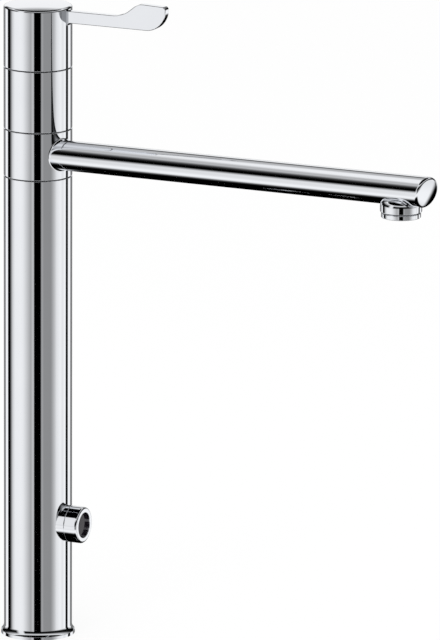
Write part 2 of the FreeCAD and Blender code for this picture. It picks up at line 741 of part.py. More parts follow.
def make_spout():
    """Swivelling ring with its root, the spout tube and the oblique domed end."""
    band = cylinder(column_radius, ring_bottom, ring_top)
    band.rotate(Vector(0, 0, 0), Vector(0, 0, 1), 180)
    band = break_edges(band, column_radius, ring_bottom, ring_top)
    body = band.fuse(raised(rod(spout_radius, 0.0, spout_root_reach, spout_z)))
    meeting = [edge for edge in body.Edges if is_root_edge(edge)]
    body = body.makeFillet(spout_root_round, meeting)
    nose_end = spout_root_reach + spout_nose_length
    body = body.fuse(raised(rod(spout_bore - seat_clearance, 0.0, nose_end, spout_z)))
    body = body.cut(raised(rod(spout_port, 0.0, nose_end + overshoot, spout_z)))
    running_bore = spigot_radius + running_clearance
    body = body.cut(cylinder(running_bore, ring_bottom - overshoot, ring_top + overshoot))
    recess = washer_outer + 4 * running_clearance
    body = body.cut(cylinder(recess, ring_bottom - overshoot, ring_bottom + washer_recess))
    body = body.cut(cylinder(recess, ring_top - washer_recess, ring_top + overshoot))
    pin_half_angle = math.degrees(math.asin(stop_pin_radius / spigot_radius))
    slot_half_angle = spout_swing + pin_half_angle + stop_play
    slot_top = column_top + stop_pin_height + stop_pin_radius + 4 * running_clearance
    slot_outer = stop_pin_reach + 4 * running_clearance
    body = body.cut(sector(slot_outer, 0.0, ring_bottom, slot_top, 180, slot_half_angle))
    save("spout_ring", swung(body))

    tube = raised(hollow_rod(spout_radius, spout_bore, spout_root_reach, spout_tube_end, spout_z))
    tube = tube.cut(cylinder(outlet_hole, outlet_z - 2 * spout_radius, outlet_z, outlet_x))
    save("spout_tube", swung(tube))

    tilt = math.radians(spout_end_tilt)
    normal = Vector(math.cos(tilt), 0, -math.sin(tilt))
    dome_centre = Vector(spout_end_x, 0, spout_z) + normal * (end_plug_crown - end_plug_dome)
    dome = Part.makeSphere(end_plug_dome, dome_centre)
    dome.rotate(dome_centre, Vector(0, 0, 1), 180)
    plug = rod(spout_radius, spout_tube_end, spout_end_x + 2 * spout_radius, spout_z).common(dome)
    rim = [edge for edge in plug.Edges if is_rim_edge(edge, dome_centre)]
    save("spout_end_plug", swung(raised(plug.makeFillet(end_plug_round, rim))))


def raised(shape):
    """Tilt a piece of the spout up about the point where its axis crosses the column's."""
    shape.rotate(Vector(0, 0, spout_z), Vector(0, 1, 0), -spout_rise)
    return shape


def swung(shape):
    """Swing a piece of the spout to the photographed side."""
    shape.rotate(Vector(0, 0, 0), Vector(0, 0, 1), spout_turn)
    return shape


def is_root_edge(edge):
    """True where the spout's root meets the ring."""
    bounds = edge.BoundBox
    beside = bounds.XMin > column_radius - spout_radius and bounds.XMax < column_radius + edge_round
    tall = bounds.ZLength > edge_round
    inside = bounds.ZMin > ring_bottom + edge_round and bounds.ZMax < ring_top - edge_round
    return beside and tall and inside and bounds.YLength > edge_round


def is_rim_edge(edge, dome_centre):
    """True for an edge that lies on the end plug's domed face."""
    points = [edge.valueAt(edge.FirstParameter), edge.valueAt((edge.FirstParameter + edge.LastParameter) / 2)]
    return all(abs((point - dome_centre).Length - end_plug_dome) < 1e-3 for point in points)


def make_outlet():
    """Collar under the spout's end, with the aerator screwed into it."""
    shoulder_z = outlet_z - collar_side_height
    shoulder_centre = (collar_radius - collar_shoulder, shoulder_z)
    low = outlet_z - collar_bottom
    collar = turned(outline(
        (0.0, low),
        (collar_radius - collar_chamfer, low),
        (collar_radius, low + collar_chamfer),
        (collar_radius, shoulder_z),
        (*on_arc(shoulder_centre, collar_shoulder, 45), *on_arc(shoulder_centre, collar_shoulder, 90)),
        (0.0, shoulder_z + collar_shoulder),
    ))
    collar.translate(Vector(outlet_x, 0, 0))
    thread_top = low + aerator_thread_depth
    collar = collar.cut(cylinder(aerator_thread + seat_clearance, low - overshoot, thread_top, outlet_x))
    collar = collar.cut(cylinder(outlet_hole, low - overshoot, outlet_z, outlet_x))
    collar = collar.cut(raised(rod(spout_radius + seat_clearance, 0.0, 2 * outlet_x, spout_z)))
    save("outlet_collar", swung(largest(collar)))

    aerator_low = outlet_z - aerator_bottom
    seal_bottom = thread_top - aerator_seal_thickness
    aerator = cylinder(aerator_radius, aerator_low, low, outlet_x)
    aerator = break_edges(aerator, aerator_radius, aerator_low, low)
    aerator = aerator.fuse(cylinder(aerator_thread, aerator_low + overshoot, seal_bottom, outlet_x))
    aerator = aerator.cut(cylinder(aerator_bore, aerator_low - overshoot, seal_bottom + overshoot, outlet_x))
    aerator = aerator.makeFillet(edge_round, circles(aerator, aerator_bore, aerator_low))
    save("aerator_ring", swung(aerator))
    seal = ring(aerator_thread - seat_clearance, outlet_hole, seal_bottom, thread_top, outlet_x)
    save("aerator_seal", swung(seal))

    insert_low = aerator_low + straightener_setback
    insert_high = seal_bottom
    insert_radius = aerator_bore - seat_clearance
    insert = ring(insert_radius, insert_radius - vane_thickness, insert_low, insert_high, outlet_x)
    insert = insert.fuse(cylinder(2 * vane_thickness, insert_low, insert_high, outlet_x))
    vane_end = insert_radius - vane_thickness / 2
    for step in range(straightener_vanes):
        vane = box((0, -vane_thickness / 2, insert_low), (vane_end, vane_thickness / 2, insert_high))
        vane.rotate(Vector(0, 0, 0), Vector(0, 0, 1), 360 * step / straightener_vanes)
        vane.translate(Vector(outlet_x, 0, 0))
        insert = insert.fuse(vane)
    save("flow_straightener", swung(insert.removeSplitter()))


def make_head():
    """Chrome sleeve that screws onto the neck and holds the cartridge."""
    sleeve = cylinder(column_radius, head_bottom, head_top)
    sleeve = break_edges(sleeve, column_radius, head_bottom, head_top)
    sleeve = sleeve.cut(cylinder(head_bore, head_bottom - overshoot, nut_bottom))
    sleeve = sleeve.cut(cylinder(nut_radius, nut_bottom, head_top + overshoot))
    save("head_sleeve", sleeve)


def make_cartridge():
    """Ceramic-disc mixing cartridge: the lower disc stands still and the upper disc turns with the stem."""
    ports = list(supplies.values()) + [valve_pipes["mixed_water"]]
    base = cylinder(cartridge_radius, neck_top, disc_bottom)
    seals = []
    groove_top = neck_top + 2 * port_seal_section + seat_clearance
    groove_inner = port_groove_outer - 2 * port_seal_section
    for x, y in ports:
        groove_floor = groove_inner - seat_clearance
        base = base.cut(ring(port_groove_outer, groove_floor, neck_top - overshoot, groove_top, x, y))
        seal_z = neck_top + port_seal_section
        seals.append(o_ring(groove_inner, port_seal_section, seal_z, x, y))
    for x, y in supplies.values():
        base = base.cut(cylinder(port_radius, neck_top - overshoot, disc_bottom + overshoot, x, y))
    mixed_x, mixed_y = valve_pipes["mixed_water"]
    channel_bottom = disc_bottom - outlet_channel_depth
    base = base.cut(cylinder(port_radius, neck_top - overshoot, disc_bottom + overshoot, mixed_x, mixed_y))
    channel_length = math.hypot(mixed_x, mixed_y)
    channel = box((0, -port_radius, channel_bottom), (channel_length, port_radius, disc_bottom + overshoot))
    channel.rotate(Vector(0, 0, 0), Vector(0, 0, 1), math.degrees(math.atan2(mixed_y, mixed_x)))
    base = base.cut(channel)
    base = base.cut(cylinder(outlet_port, channel_bottom, disc_bottom + overshoot))
    save("cartridge_base", base)
    save("port_seals", Part.makeCompound(seals))

    fixed_disc = cylinder(disc_radius, disc_bottom, moving_disc_bottom)
    fixed_disc = fixed_disc.cut(cylinder(outlet_port, disc_bottom - overshoot, stem_bottom))
    kidney_middle = kidney_start + kidney_sweep / 2
    for side in (-1, 1):
        fixed_disc = fixed_disc.cut(sector(kidney_outer, kidney_inner, disc_bottom - overshoot, stem_bottom,
                                           side * kidney_middle, kidney_sweep / 2))
    save("fixed_disc", fixed_disc)

    moving_disc = cylinder(moving_radius, moving_disc_bottom, stem_bottom)
    fan_top = moving_disc_bottom + fan_depth
    fan = sector(kidney_outer - fan_margin, 0.0, moving_disc_bottom - overshoot, fan_top, 0, fan_half_angle)
    pool = cylinder(outlet_port + pool_margin, moving_disc_bottom - overshoot, fan_top)
    save("moving_disc", moving_disc.cut(fan.fuse(pool)))

    housing = cylinder(cartridge_radius, disc_bottom, nut_bottom)
    housing = housing.cut(cylinder(cartridge_bore, disc_bottom - overshoot, housing_ceiling))
    housing = housing.cut(cylinder(stem_hub_radius + running_clearance, disc_bottom, nut_bottom + overshoot))
    save("cartridge_housing", housing)

    nut = ring(nut_radius - seat_clearance, nut_bore, nut_bottom, nut_top)
    slot_bottom = nut_top - nut_slot_depth
    for step in range(nut_slots):
        slot = box((nut_radius - nut_slot_length, -nut_slot_width / 2, slot_bottom),
                   (nut_radius + overshoot, nut_slot_width / 2, nut_top + overshoot))
        slot.rotate(Vector(0, 0, 0), Vector(0, 0, 1), 360 * step / nut_slots)
        nut = nut.cut(slot)
    peg_half_angle = math.degrees(math.asin(limit_peg_radius / limit_peg_circle))
    peg_angle = lever_turn + limiter_lug_half_angle + peg_half_angle + stop_play
    for side in (-1, 1):
        turn = math.radians(180 + side * peg_angle)
        x = limit_peg_circle * math.cos(turn)
        y = limit_peg_circle * math.sin(turn)
        nut = nut.fuse(cylinder(limit_peg_radius, nut_top - overshoot, nut_top + limit_peg_height, x, y))
    save("cartridge_nut", nut.removeSplitter())

    hub_end = stem_flange_top + stem_hub_length
    stem = cylinder(moving_radius, stem_bottom, stem_flange_top)
    stem = stem.fuse(cylinder(stem_hub_radius, stem_flange_top, hub_end))
    stem = stem.fuse(cylinder(stem_shaft_radius, hub_end, hexagon_bottom))
    stem = stem.fuse(hexagon(stem_hexagon, hexagon_bottom, stem_top)).removeSplitter()
    seal_z = housing_ceiling + cartridge_ceiling / 2
    seal_floor = stem_hub_radius - 2 * stem_seal_section
    groove_low = seal_z - 1.5 * stem_seal_section
    groove_high = seal_z + 1.5 * stem_seal_section
    stem = stem.cut(ring(stem_hub_radius + overshoot, seal_floor, groove_low, groove_high))
    save("stem", stem)
    save("stem_seal", o_ring(seal_floor, stem_seal_section, seal_z))

    limiter_top = limiter_bottom + limiter_thickness
    limiter = cylinder(limiter_radius, limiter_bottom, limiter_top)
    limiter = limiter.fuse(sector(limiter_lug_radius, 0.0, limiter_bottom, limiter_top, 180,
                                  limiter_lug_half_angle)).removeSplitter()
    limiter = limiter.cut(hexagon(stem_hexagon + 2 * seat_clearance, limiter_bottom - overshoot,
                                  limiter_top + overshoot))
    save("temperature_limiter", limiter)


def lever_arm():
    """Flat arm that swells into a taller paddle, drawn from the side and given its thickness."""
    arm_top = hub_top - arm_drop
    arm_bottom = arm_top - arm_height
    paddle_top = arm_top + paddle_rise
    root_x = column_radius - hub_wall / 2
    wall_x = column_radius - arm_root_sink

    slope = math.radians(neck_slope)
    neck_centre = (arm_straight_end, arm_top + neck_curve)
    neck_end = on_arc(neck_centre, neck_curve, neck_slope - 90)
    shoulder_z = paddle_top - shoulder_curve
    shoulder_start_z = shoulder_z + shoulder_curve * math.cos(slope)
    slope_run = (shoulder_start_z - neck_end[1]) / math.tan(slope)
    shoulder_x = neck_end[0] + slope_run + shoulder_curve * math.sin(slope)
    shoulder_centre = (shoulder_x, shoulder_z)
    shoulder_start = on_arc(shoulder_centre, shoulder_curve, 90 + neck_slope)
    shoulder_middle = on_arc(shoulder_centre, shoulder_curve, 90 + neck_slope / 2)
    shoulder_end = on_arc(shoulder_centre, shoulder_curve, 90 - paddle_fall)

    fall = math.radians(paddle_fall)
    corner_x = lever_reach - paddle_corner
    roof_z = shoulder_end[1] - (corner_x - shoulder_end[0]) * math.tan(fall)
    corner_z = roof_z - paddle_corner / math.cos(fall)
    corner_centre = (corner_x, corner_z)
    tip_curve = corner_z - arm_bottom
    tip_centre = (lever_reach - tip_curve, corner_z)
    root_centre = (wall_x + arm_root_round, arm_bottom - arm_root_round)

    side = outline(
        (root_x, arm_top),
        (arm_straight_end, arm_top),
        (*on_arc(neck_centre, neck_curve, neck_slope / 2 - 90), *neck_end),
        shoulder_start,
        (*shoulder_middle, *shoulder_end),
        on_arc(corner_centre, paddle_corner, 90 - paddle_fall),
        (*on_arc(corner_centre, paddle_corner, 45), *on_arc(corner_centre, paddle_corner, 0)),
        (*on_arc(tip_centre, tip_curve, -45), *on_arc(tip_centre, tip_curve, -90)),
        (root_centre[0], arm_bottom),
        (*on_arc(root_centre, arm_root_round, 135), wall_x, root_centre[1]),
        (root_x, root_centre[1]),
    )
    side.translate(Vector(0, -arm_thickness / 2, 0))
    arm = side.extrude(Vector(0, arm_thickness, 0))
    sharp = [edge for edge in arm.Edges
             if edge.BoundBox.YLength < same_place and edge.BoundBox.XMax > root_x + 1e-3]
    return arm.makeFillet(arm_edge, sharp)


def make_lever():
    """Lever casting with the screw that clamps it to the stem and the plug that hides the screw."""
    edge_centre = (column_radius - hub_edge, hub_top - hub_edge)
    crown_radius = (edge_centre[0] ** 2 + hub_crown ** 2) / (2 * hub_crown)
    crown_centre_z = hub_top + hub_crown - crown_radius
    crown_middle_x = edge_centre[0] / 2
    crown_middle_z = crown_centre_z + math.sqrt(crown_radius ** 2 - crown_middle_x ** 2)
    hub = turned(outline(
        (hub_bore, hub_bottom),
        (column_radius - edge_round, hub_bottom),
        (*on_arc((column_radius - edge_round, hub_bottom + edge_round), edge_round, -45), column_radius,
         hub_bottom + edge_round),
        (column_radius, edge_centre[1]),
        (*on_arc(edge_centre, hub_edge, 45), edge_centre[0], hub_top),
        (crown_middle_x, crown_middle_z, 0.0, hub_top + hub_crown),
        (0.0, hub_ceiling),
        (hub_bore, hub_ceiling),
    ))
    boss = cylinder(boss_radius, boss_bottom, hub_ceiling + overshoot)
    lever = hub.fuse(boss).fuse(lever_arm()).removeSplitter()
    socket_top = stem_top + socket_spare
    socket = hexagon(stem_hexagon + 2 * seat_clearance, boss_bottom - overshoot, socket_top)
    screw_hole = rod(grub_screw_radius + seat_clearance, -boss_radius - overshoot, 0.0, grub_screw_z)
    access_end = -boss_radius - overshoot
    access = rod(access_radius + seat_clearance, -column_radius - overshoot, access_end, grub_screw_z)
    save("lever", lever.cut(socket).cut(screw_hole).cut(access))

    flat = -stem_hexagon / 2 - seat_clearance
    screw = rod(grub_screw_radius, -boss_radius, flat, grub_screw_z)
    drive = hexagon(grub_screw_drive, 0.0, grub_screw_radius)
    drive.rotate(Vector(0, 0, 0), Vector(0, 1, 0), 90)
    drive.translate(Vector(-boss_radius, 0, grub_screw_z))
    save("lever_screw", screw.cut(drive))
    plug = rod(access_radius, -column_radius, seat_clearance - hub_bore, grub_screw_z)
    save("screw_plug", plug.common(cylinder(column_radius, hub_bottom, hub_top)))


os.makedirs("parts", exist_ok=True)
make_foot()
make_base_block()
make_column()
make_supplies()
make_sensor()
make_solenoid()
make_core()
make_spout()
make_outlet()
make_head()
make_cartridge()
make_lever()
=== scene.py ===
# %% [markdown]
# # A tall mixer tap, dressed in chrome
# The tap stands on a flared foot. A turned column carries a swivelling spout, a fixed head and a turning
# lever, and a round presence sensor sits low on the column's front. The CAD model already gives every piece
# its size and place, so it is loaded first and kept as a frame. Every visible chrome piece is then modelled
# again with a finer surface, because a mirror finish shows each facet of a plain CAD mesh.

# %% Load the frame
import json
import math

import bpy
from mathutils import Matrix, Vector


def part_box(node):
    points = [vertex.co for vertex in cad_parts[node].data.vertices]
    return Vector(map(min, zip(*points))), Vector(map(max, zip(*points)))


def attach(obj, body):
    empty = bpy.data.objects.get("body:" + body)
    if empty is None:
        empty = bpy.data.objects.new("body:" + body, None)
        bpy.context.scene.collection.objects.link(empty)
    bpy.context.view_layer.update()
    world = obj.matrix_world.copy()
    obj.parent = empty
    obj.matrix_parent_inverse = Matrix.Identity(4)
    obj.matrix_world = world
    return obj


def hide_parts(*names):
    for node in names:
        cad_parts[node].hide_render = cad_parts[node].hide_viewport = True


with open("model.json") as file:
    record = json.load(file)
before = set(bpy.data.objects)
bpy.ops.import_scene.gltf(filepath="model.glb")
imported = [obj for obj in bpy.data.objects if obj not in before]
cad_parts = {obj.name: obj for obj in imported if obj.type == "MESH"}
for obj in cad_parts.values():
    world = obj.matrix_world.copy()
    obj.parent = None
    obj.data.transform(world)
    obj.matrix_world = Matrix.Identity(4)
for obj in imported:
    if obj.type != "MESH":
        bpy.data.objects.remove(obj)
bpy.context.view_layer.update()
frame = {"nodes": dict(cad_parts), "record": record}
print("nodes:", len(frame["nodes"]))

# %% [markdown]
# ## Sizes
# A scale drawing of the real tap would give its sizes in millimetres. Here they are read from the frame's
# boxes, so that the looks follow the CAD model, and only what a box can't tell is written as a number.
# Blender works in metres, so one value, MM, turns millimetres into metres.
#
# A few values serve all pieces. Corners closer together than WELD become one, and ARC_STEP is the widest turn
# between two points of a round. SEAM_ROUND is the round on an edge at a seam, and FIT_GAP is the air between
# two pieces that fit. TOOL_MARGIN is how far a cutting tool runs past the metal, and SADDLE_REACH is how far
# the tool of a saddle runs to either side.

# %% Read the main sizes
MM = 0.001
WELD = MM / 1000
SEAM_ROUND = 0.4
FIT_GAP = 0.03
TOOL_MARGIN = 1.0
SADDLE_REACH = 30.0
ARC_STEP = math.radians(11)
BIG_STEPS = 384
SMALL_STEPS = 256


def extent(node):
    """Lowest and highest corner of a CAD node, in millimetres."""
    low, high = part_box(node)
    return [round(value / MM, 2) for value in low], [round(value / MM, 2) for value in high]


column_low, column_high = extent("column_tube")
ring_low, ring_high = extent("spout_ring")
head_low, head_high = extent("head_sleeve")
lever_low, lever_high = extent("lever")
column_radius = column_high[0]
spout_z = 360.7
spout_radius = 11.0
print("column radius", column_radius, "mm, spout radius", spout_radius, "mm at height", spout_z, "mm")

# %% [markdown]
# ## Drawing a line and turning it
# A tap is lathe work, so most of its pieces are a line spun about an axis. The line could be typed in as
# mesh data, but it is drawn here as by hand: a plane is merged to one point, and that point is extruded
# from corner to corner. Corners with a radius are worked out first, as a draughtsman rounds them off.

# %% Helpers for lines
def choose(*pieces):
    """Select only these pieces. The last one becomes the active one."""
    bpy.ops.object.select_all(action="DESELECT")
    for piece in pieces:
        piece.select_set(True)
    bpy.context.view_layer.objects.active = pieces[-1]


def swing(first, second, share):
    """Turn one arrow a share of the way to another. Slerp forgets the length, so it is put back."""
    length = first.length * (1 - share) + second.length * share
    return first.slerp(second, share) * length


def arc(centre, radius, start, end, steps):
    """Points of an arc between two angles in degrees."""
    points = []
    for step in range(steps + 1):
        angle = math.radians(start + (end - start) * step / steps)
        points.append((centre[0] + radius * math.cos(angle), centre[1] + radius * math.sin(angle)))
    return points


def soften(corners, closed=True):
    """Swap each corner that has a third value, its radius, for a row of points on that arc."""
    points = []
    count = len(corners)
    for index, corner in enumerate(corners):
        here = Vector(corner[:2])
        at_end = not closed and index in (0, count - 1)
        if len(corner) < 3 or at_end:
            points.append(tuple(here))
            continue
        before = (Vector(corners[index - 1][:2]) - here).normalized()
        after = (Vector(corners[(index + 1) % count][:2]) - here).normalized()
        half = before.angle(after) / 2
        centre = here + (before + after).normalized() * corner[2] / math.sin(half)
        start = here + before * corner[2] / math.tan(half) - centre
        end = here + after * corner[2] / math.tan(half) - centre
        steps = max(3, math.ceil((math.pi - 2 * half) / ARC_STEP))
        for step in range(steps + 1):
            points.append(tuple(centre + swing(start, end, step / steps)))
    return points


def draw_chain(name, points, closed):
    """Draw a line in edit mode by extruding its last point from corner to corner."""
    bpy.ops.object.select_all(action="DESELECT")
    bpy.ops.mesh.primitive_plane_add(size=MM, location=(0, 0, 0))
    piece = bpy.context.object
    piece.name = name
    bpy.ops.object.mode_set(mode="EDIT")
    bpy.ops.mesh.merge(type="CENTER")
    places = [Vector(point) * MM for point in points]
    bpy.ops.transform.translate(value=places[0])
    path = places[1:] + places[:1] if closed else places[1:]
    here = places[0]
    for place in path:
        bpy.ops.mesh.extrude_region_move(TRANSFORM_OT_translate={"value": place - here})
        here = place
    bpy.ops.mesh.select_all(action="SELECT")
    bpy.ops.mesh.remove_doubles(threshold=WELD)
    bpy.ops.object.mode_set(mode="OBJECT")
    return piece


def turned(name, profile, axis="Z", centre=(0, 0, 0), steps=BIG_STEPS, closed=True, angle=360):
    """Spin a line of (radius, place along the axis) points about an axis through the centre."""
    points = []
    for radius, along in profile:
        offset = (radius, 0, along) if axis == "Z" else (along, 0, radius)
        points.append([start + step for start, step in zip(centre, offset)])
    piece = draw_chain(name, points, closed)
    bpy.ops.object.mode_set(mode="EDIT")
    bpy.ops.mesh.select_all(action="SELECT")
    direction = (0, 0, 1) if axis == "Z" else (1, 0, 0)
    pivot = Vector(centre) * MM
    bpy.ops.mesh.spin(steps=steps, angle=math.radians(angle), center=pivot, axis=direction)
    bpy.ops.mesh.select_all(action="SELECT")
    bpy.ops.mesh.remove_doubles(threshold=WELD)
    if angle < 360:
        bpy.ops.mesh.fill_holes(sides=0)
        bpy.ops.mesh.select_all(action="SELECT")
    bpy.ops.mesh.normals_make_consistent(inside=False)
    bpy.ops.object.mode_set(mode="OBJECT")
    return piece


# %% [markdown]
# ## Joining, drilling and laying a net
# Castings are made of simple bodies that are joined and then drilled, and Boolean modifiers do the same.
# Two blends are too subtle for a bevel: the root where the spout grows out of the ring, and the oblique
# domed end of the spout. For these a straight tube of rings is spun first, and each ring is then laid in
# its place on the surface.

# %% Helpers for solids
def combine(piece, tool, operation):
    """Apply a Boolean between a piece and a tool, and delete the tool."""
    choose(piece)
    bpy.ops.object.modifier_add(type="BOOLEAN")
    modifier = piece.modifiers[-1]
    modifier.operation = operation
    modifier.solver = "EXACT"
    modifier.object = tool
    bpy.ops.object.modifier_apply(modifier=modifier.name)
    choose(tool)
    bpy.ops.object.delete()
    return piece


def rod(radius, start, end, axis="Z", centre=(0, 0, 0), sides=SMALL_STEPS):
    """A plain round or many-sided bar."""
    middle = (start + end) / 2
    along = (0, 0, middle) if axis == "Z" else (middle, 0, 0)
    turn = (0, 0, 0) if axis == "Z" else (0, math.radians(90), 0)
    place = (Vector(centre) + Vector(along)) * MM
    bpy.ops.object.select_all(action="DESELECT")
    bpy.ops.mesh.primitive_cylinder_add(
        vertices=sides, radius=radius * MM, depth=(end - start) * MM, location=place, rotation=turn)
    tool = bpy.context.object
    bpy.ops.object.transform_apply(location=True, rotation=True, scale=True)
    return tool


def drill(piece, radius, start, end, axis="Z", centre=(0, 0, 0), sides=SMALL_STEPS):
    """Cut a straight hole."""
    return combine(piece, rod(radius, start, end, axis, centre, sides), "DIFFERENCE")


def laid_net(name, rings, steps, place):
    """Spin a straight tube of rings along X, then move each corner to place(ring, angle)."""
    piece = turned(name, [(1.0, ring) for ring in range(rings)], "X", steps=steps, closed=False)
    for corner in piece.data.vertices:
        ring = round(corner.co.x / MM)
        angle = math.atan2(corner.co.y, corner.co.z)
        corner.co = Vector(place(ring, angle)) * MM
    choose(piece)
    bpy.ops.object.mode_set(mode="EDIT")
    bpy.ops.mesh.select_all(action="SELECT")
    bpy.ops.mesh.remove_doubles(threshold=WELD)
    bpy.ops.mesh.select_all(action="SELECT")
    bpy.ops.mesh.fill_holes(sides=0)
    bpy.ops.mesh.select_all(action="SELECT")
    bpy.ops.mesh.normals_make_consistent(inside=False)
    bpy.ops.object.mode_set(mode="OBJECT")
    return piece


# %% [markdown]
# ## Nodes for the finishes
# Every finish is a Principled shader with some noise in its colour and its roughness, and most have it in
# their height too. Writing the same nodes out for each of them would be long, so a small kit lays them: a
# pattern, a ramp from that pattern to a colour or a number, and a bump. Noise seldom leaves the span from
# NOISE_LOW to NOISE_HIGH, so the ramps run between these two.

# %% Helpers for materials
NOISE_DETAIL = 3.0
NOISE_LOW = 0.3
NOISE_HIGH = 0.7
BROAD_GRAIN = 8
BUMP_STRENGTH = 0.5


def new_shader(name, color, metallic, roughness):
    """Start a material. Returns it, its node tree, its Principled shader and its coordinates."""
    material = bpy.data.materials.new(name)
    material.use_nodes = True
    tree = material.node_tree
    shader = tree.nodes["Principled BSDF"]
    shader.inputs["Base Color"].default_value = (*color, 1)
    shader.inputs["Metallic"].default_value = metallic
    shader.inputs["Roughness"].default_value = roughness
    place = tree.nodes.new("ShaderNodeTexCoord").outputs["Object"]
    return material, tree, shader, place


def stretched(tree, place, scale):
    """Object coordinates squeezed by a factor for each axis."""
    mapping = tree.nodes.new("ShaderNodeMapping")
    mapping.inputs["Scale"].default_value = scale
    tree.links.new(place, mapping.inputs["Vector"])
    return mapping.outputs["Vector"]


def noise(tree, place, scale):
    """Soft random pattern with a number of grains to the metre."""
    node = tree.nodes.new("ShaderNodeTexNoise")
    node.inputs["Scale"].default_value = scale
    node.inputs["Detail"].default_value = NOISE_DETAIL
    tree.links.new(place, node.inputs["Vector"])
    return node.outputs["Fac"]


def ramp(tree, value, stops):
    """Turn a value from 0 to 1 into a colour by a row of (place, colour or grey) stops."""
    node = tree.nodes.new("ShaderNodeValToRGB")
    band = node.color_ramp
    band.interpolation = "LINEAR"
    while len(band.elements) < len(stops):
        band.elements.new(1.0)
    for element, (position, shade) in zip(band.elements, sorted(stops)):
        element.position = position
        element.color = (*shade, 1) if isinstance(shade, tuple) else (shade, shade, shade, 1)
    tree.links.new(value, node.inputs["Fac"])
    return node.outputs["Color"]


def bump(tree, shader, height, depth):
    """Let a pattern raise the surface by a depth in metres."""
    node = tree.nodes.new("ShaderNodeBump")
    node.inputs["Strength"].default_value = BUMP_STRENGTH
    node.inputs["Distance"].default_value = depth
    tree.links.new(height, node.inputs["Height"])
    tree.links.new(node.outputs["Normal"], shader.inputs["Normal"])


def grained(name, color, metallic, rough, contrast=0.06, grains=900, depth=0.0, squeeze=(1, 1, 1)):
    """A finish whose colour, roughness and, given a depth, height wander a little over the surface."""
    material, tree, shader, place = new_shader(name, color, metallic, rough[0])
    place = stretched(tree, place, squeeze)
    broad = noise(tree, place, grains / BROAD_GRAIN)
    fine = noise(tree, place, grains)
    dark = tuple(channel * (1 - contrast) for channel in color)
    light = tuple(min(1.0, channel * (1 + contrast)) for channel in color)
    colors = ramp(tree, broad, [(NOISE_LOW, dark), (NOISE_HIGH, light)])
    tree.links.new(colors, shader.inputs["Base Color"])
    glosses = ramp(tree, fine, [(NOISE_LOW, rough[0]), (NOISE_HIGH, rough[1])])
    tree.links.new(glosses, shader.inputs["Roughness"])
    if depth:
        bump(tree, shader, fine, depth)
    return material


# %% [markdown]
# ## Chrome
# The real tap is brass that was polished, then plated with nickel and a very thin layer of chromium. It is
# nearly a perfect mirror, with a hint of blue, and only the polishing wheel's faint marks break it up. A
# fully metallic shader with a very low roughness gives the mirror. Noise moves the roughness a little, and
# a bump of less than a thousandth of a millimetre gives the soft waviness of a buffed surface.

# %% Make the chrome
CHROME_COLOR = (0.88, 0.897, 0.93)
chrome = grained("polished_chrome", CHROME_COLOR, 1.0, (0.02, 0.05), contrast=0.01, grains=260,
                 depth=0.0000006)
print("chrome:", [node.bl_idname for node in chrome.node_tree.nodes])


# %% [markdown]
# ## Finishing a piece
# A turned piece is smooth along its sides and crisp at its edges. Smoothing by angle keeps the crisp edges,
# and weighted normals let each large face set the shading right up to the small rounds, so that the mirror
# stays straight. The same helper hangs the piece on its body and says which CAD node it stands for.

# %% Helper that finishes a piece
SMOOTH_ANGLE = math.radians(30)


def finish_piece(piece, material, body, node):
    """Smooth a piece, give it its material, and tie it to the frame."""
    choose(piece)
    piece.name = node + "_looks"
    bpy.ops.object.shade_smooth_by_angle(angle=SMOOTH_ANGLE)
    bpy.ops.object.modifier_add(type="WEIGHTED_NORMAL")
    modifier = piece.modifiers[-1]
    modifier.keep_sharp = True
    bpy.ops.object.modifier_apply(modifier=modifier.name)
    piece.data.materials.clear()
    piece.data.materials.append(material)
    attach(piece, body)
    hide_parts(node)
    size = [round(value / MM, 1) for value in piece.dimensions]
    print(piece.name, len(piece.data.polygons), "faces,", size, "mm")


# %% [markdown]
# ## Foot
# The foot is a turned flange with an upright rim and a hollow flare that runs up into the column. It hides
# the edge of the hole in the basin. A cone with a bevel could pass for it, but a mirror shows the flare's
# true curve, so its section is drawn with an arc through three points and spun.

# %% Turn the foot
FLARE_FULLNESS = 0.25
_, foot_high = extent("base_flange")
_, seal_high = extent("foot_seal")
column_bore = 23.0
rim_top = 2.6


def arc_through(start, middle, end, steps):
    """Points of the circle's arc through three points."""
    (ax, ay), (bx, by), (cx, cy) = start, middle, end
    twice = 2 * (ax * (by - cy) + bx * (cy - ay) + cx * (ay - by))
    a2, b2, c2 = ax * ax + ay * ay, bx * bx + by * by, cx * cx + cy * cy
    x = (a2 * (by - cy) + b2 * (cy - ay) + c2 * (ay - by)) / twice
    y = (a2 * (cx - bx) + b2 * (ax - cx) + c2 * (bx - ax)) / twice
    centre = Vector((x, y))
    first, last = Vector(start) - centre, Vector(end) - centre
    return [tuple(centre + swing(first, last, step / steps)) for step in range(steps + 1)]


foot_radius = foot_high[0]
flare_start = (foot_radius - SEAM_ROUND, rim_top)
flare_radius = column_radius + FLARE_FULLNESS * (foot_radius - column_radius)
flare_middle = (flare_radius, (rim_top + foot_high[2]) / 2)
seal_outer = seal_high[0] + FIT_GAP
seal_inner = column_bore + foot_radius - seal_outer
foot_profile = [
    (column_bore, 0.0),
    (seal_inner, 0.0),
    (seal_inner, seal_high[2]),
    (seal_outer, seal_high[2]),
    (seal_outer, 0.0),
    (foot_radius, 0.0),
    *arc((foot_radius - SEAM_ROUND, rim_top - SEAM_ROUND), SEAM_ROUND, start=0, end=80, steps=7),
    *arc_through(flare_start, flare_middle, (column_radius, foot_high[2]), steps=14),
    (column_bore, foot_high[2]),
]
foot = turned("foot", foot_profile)
finish_piece(foot, chrome, "column", "base_flange")

# %% [markdown]
# ## Column
# The column is a drawn tube with a finely broken top edge and one hole for the sensor. It could be a
# cylinder with a Solidify modifier. Spinning its section gives the wall and the edge in one go, and two
# extra rings above and below the sensor keep the hole's cut faces away from the long mirror.

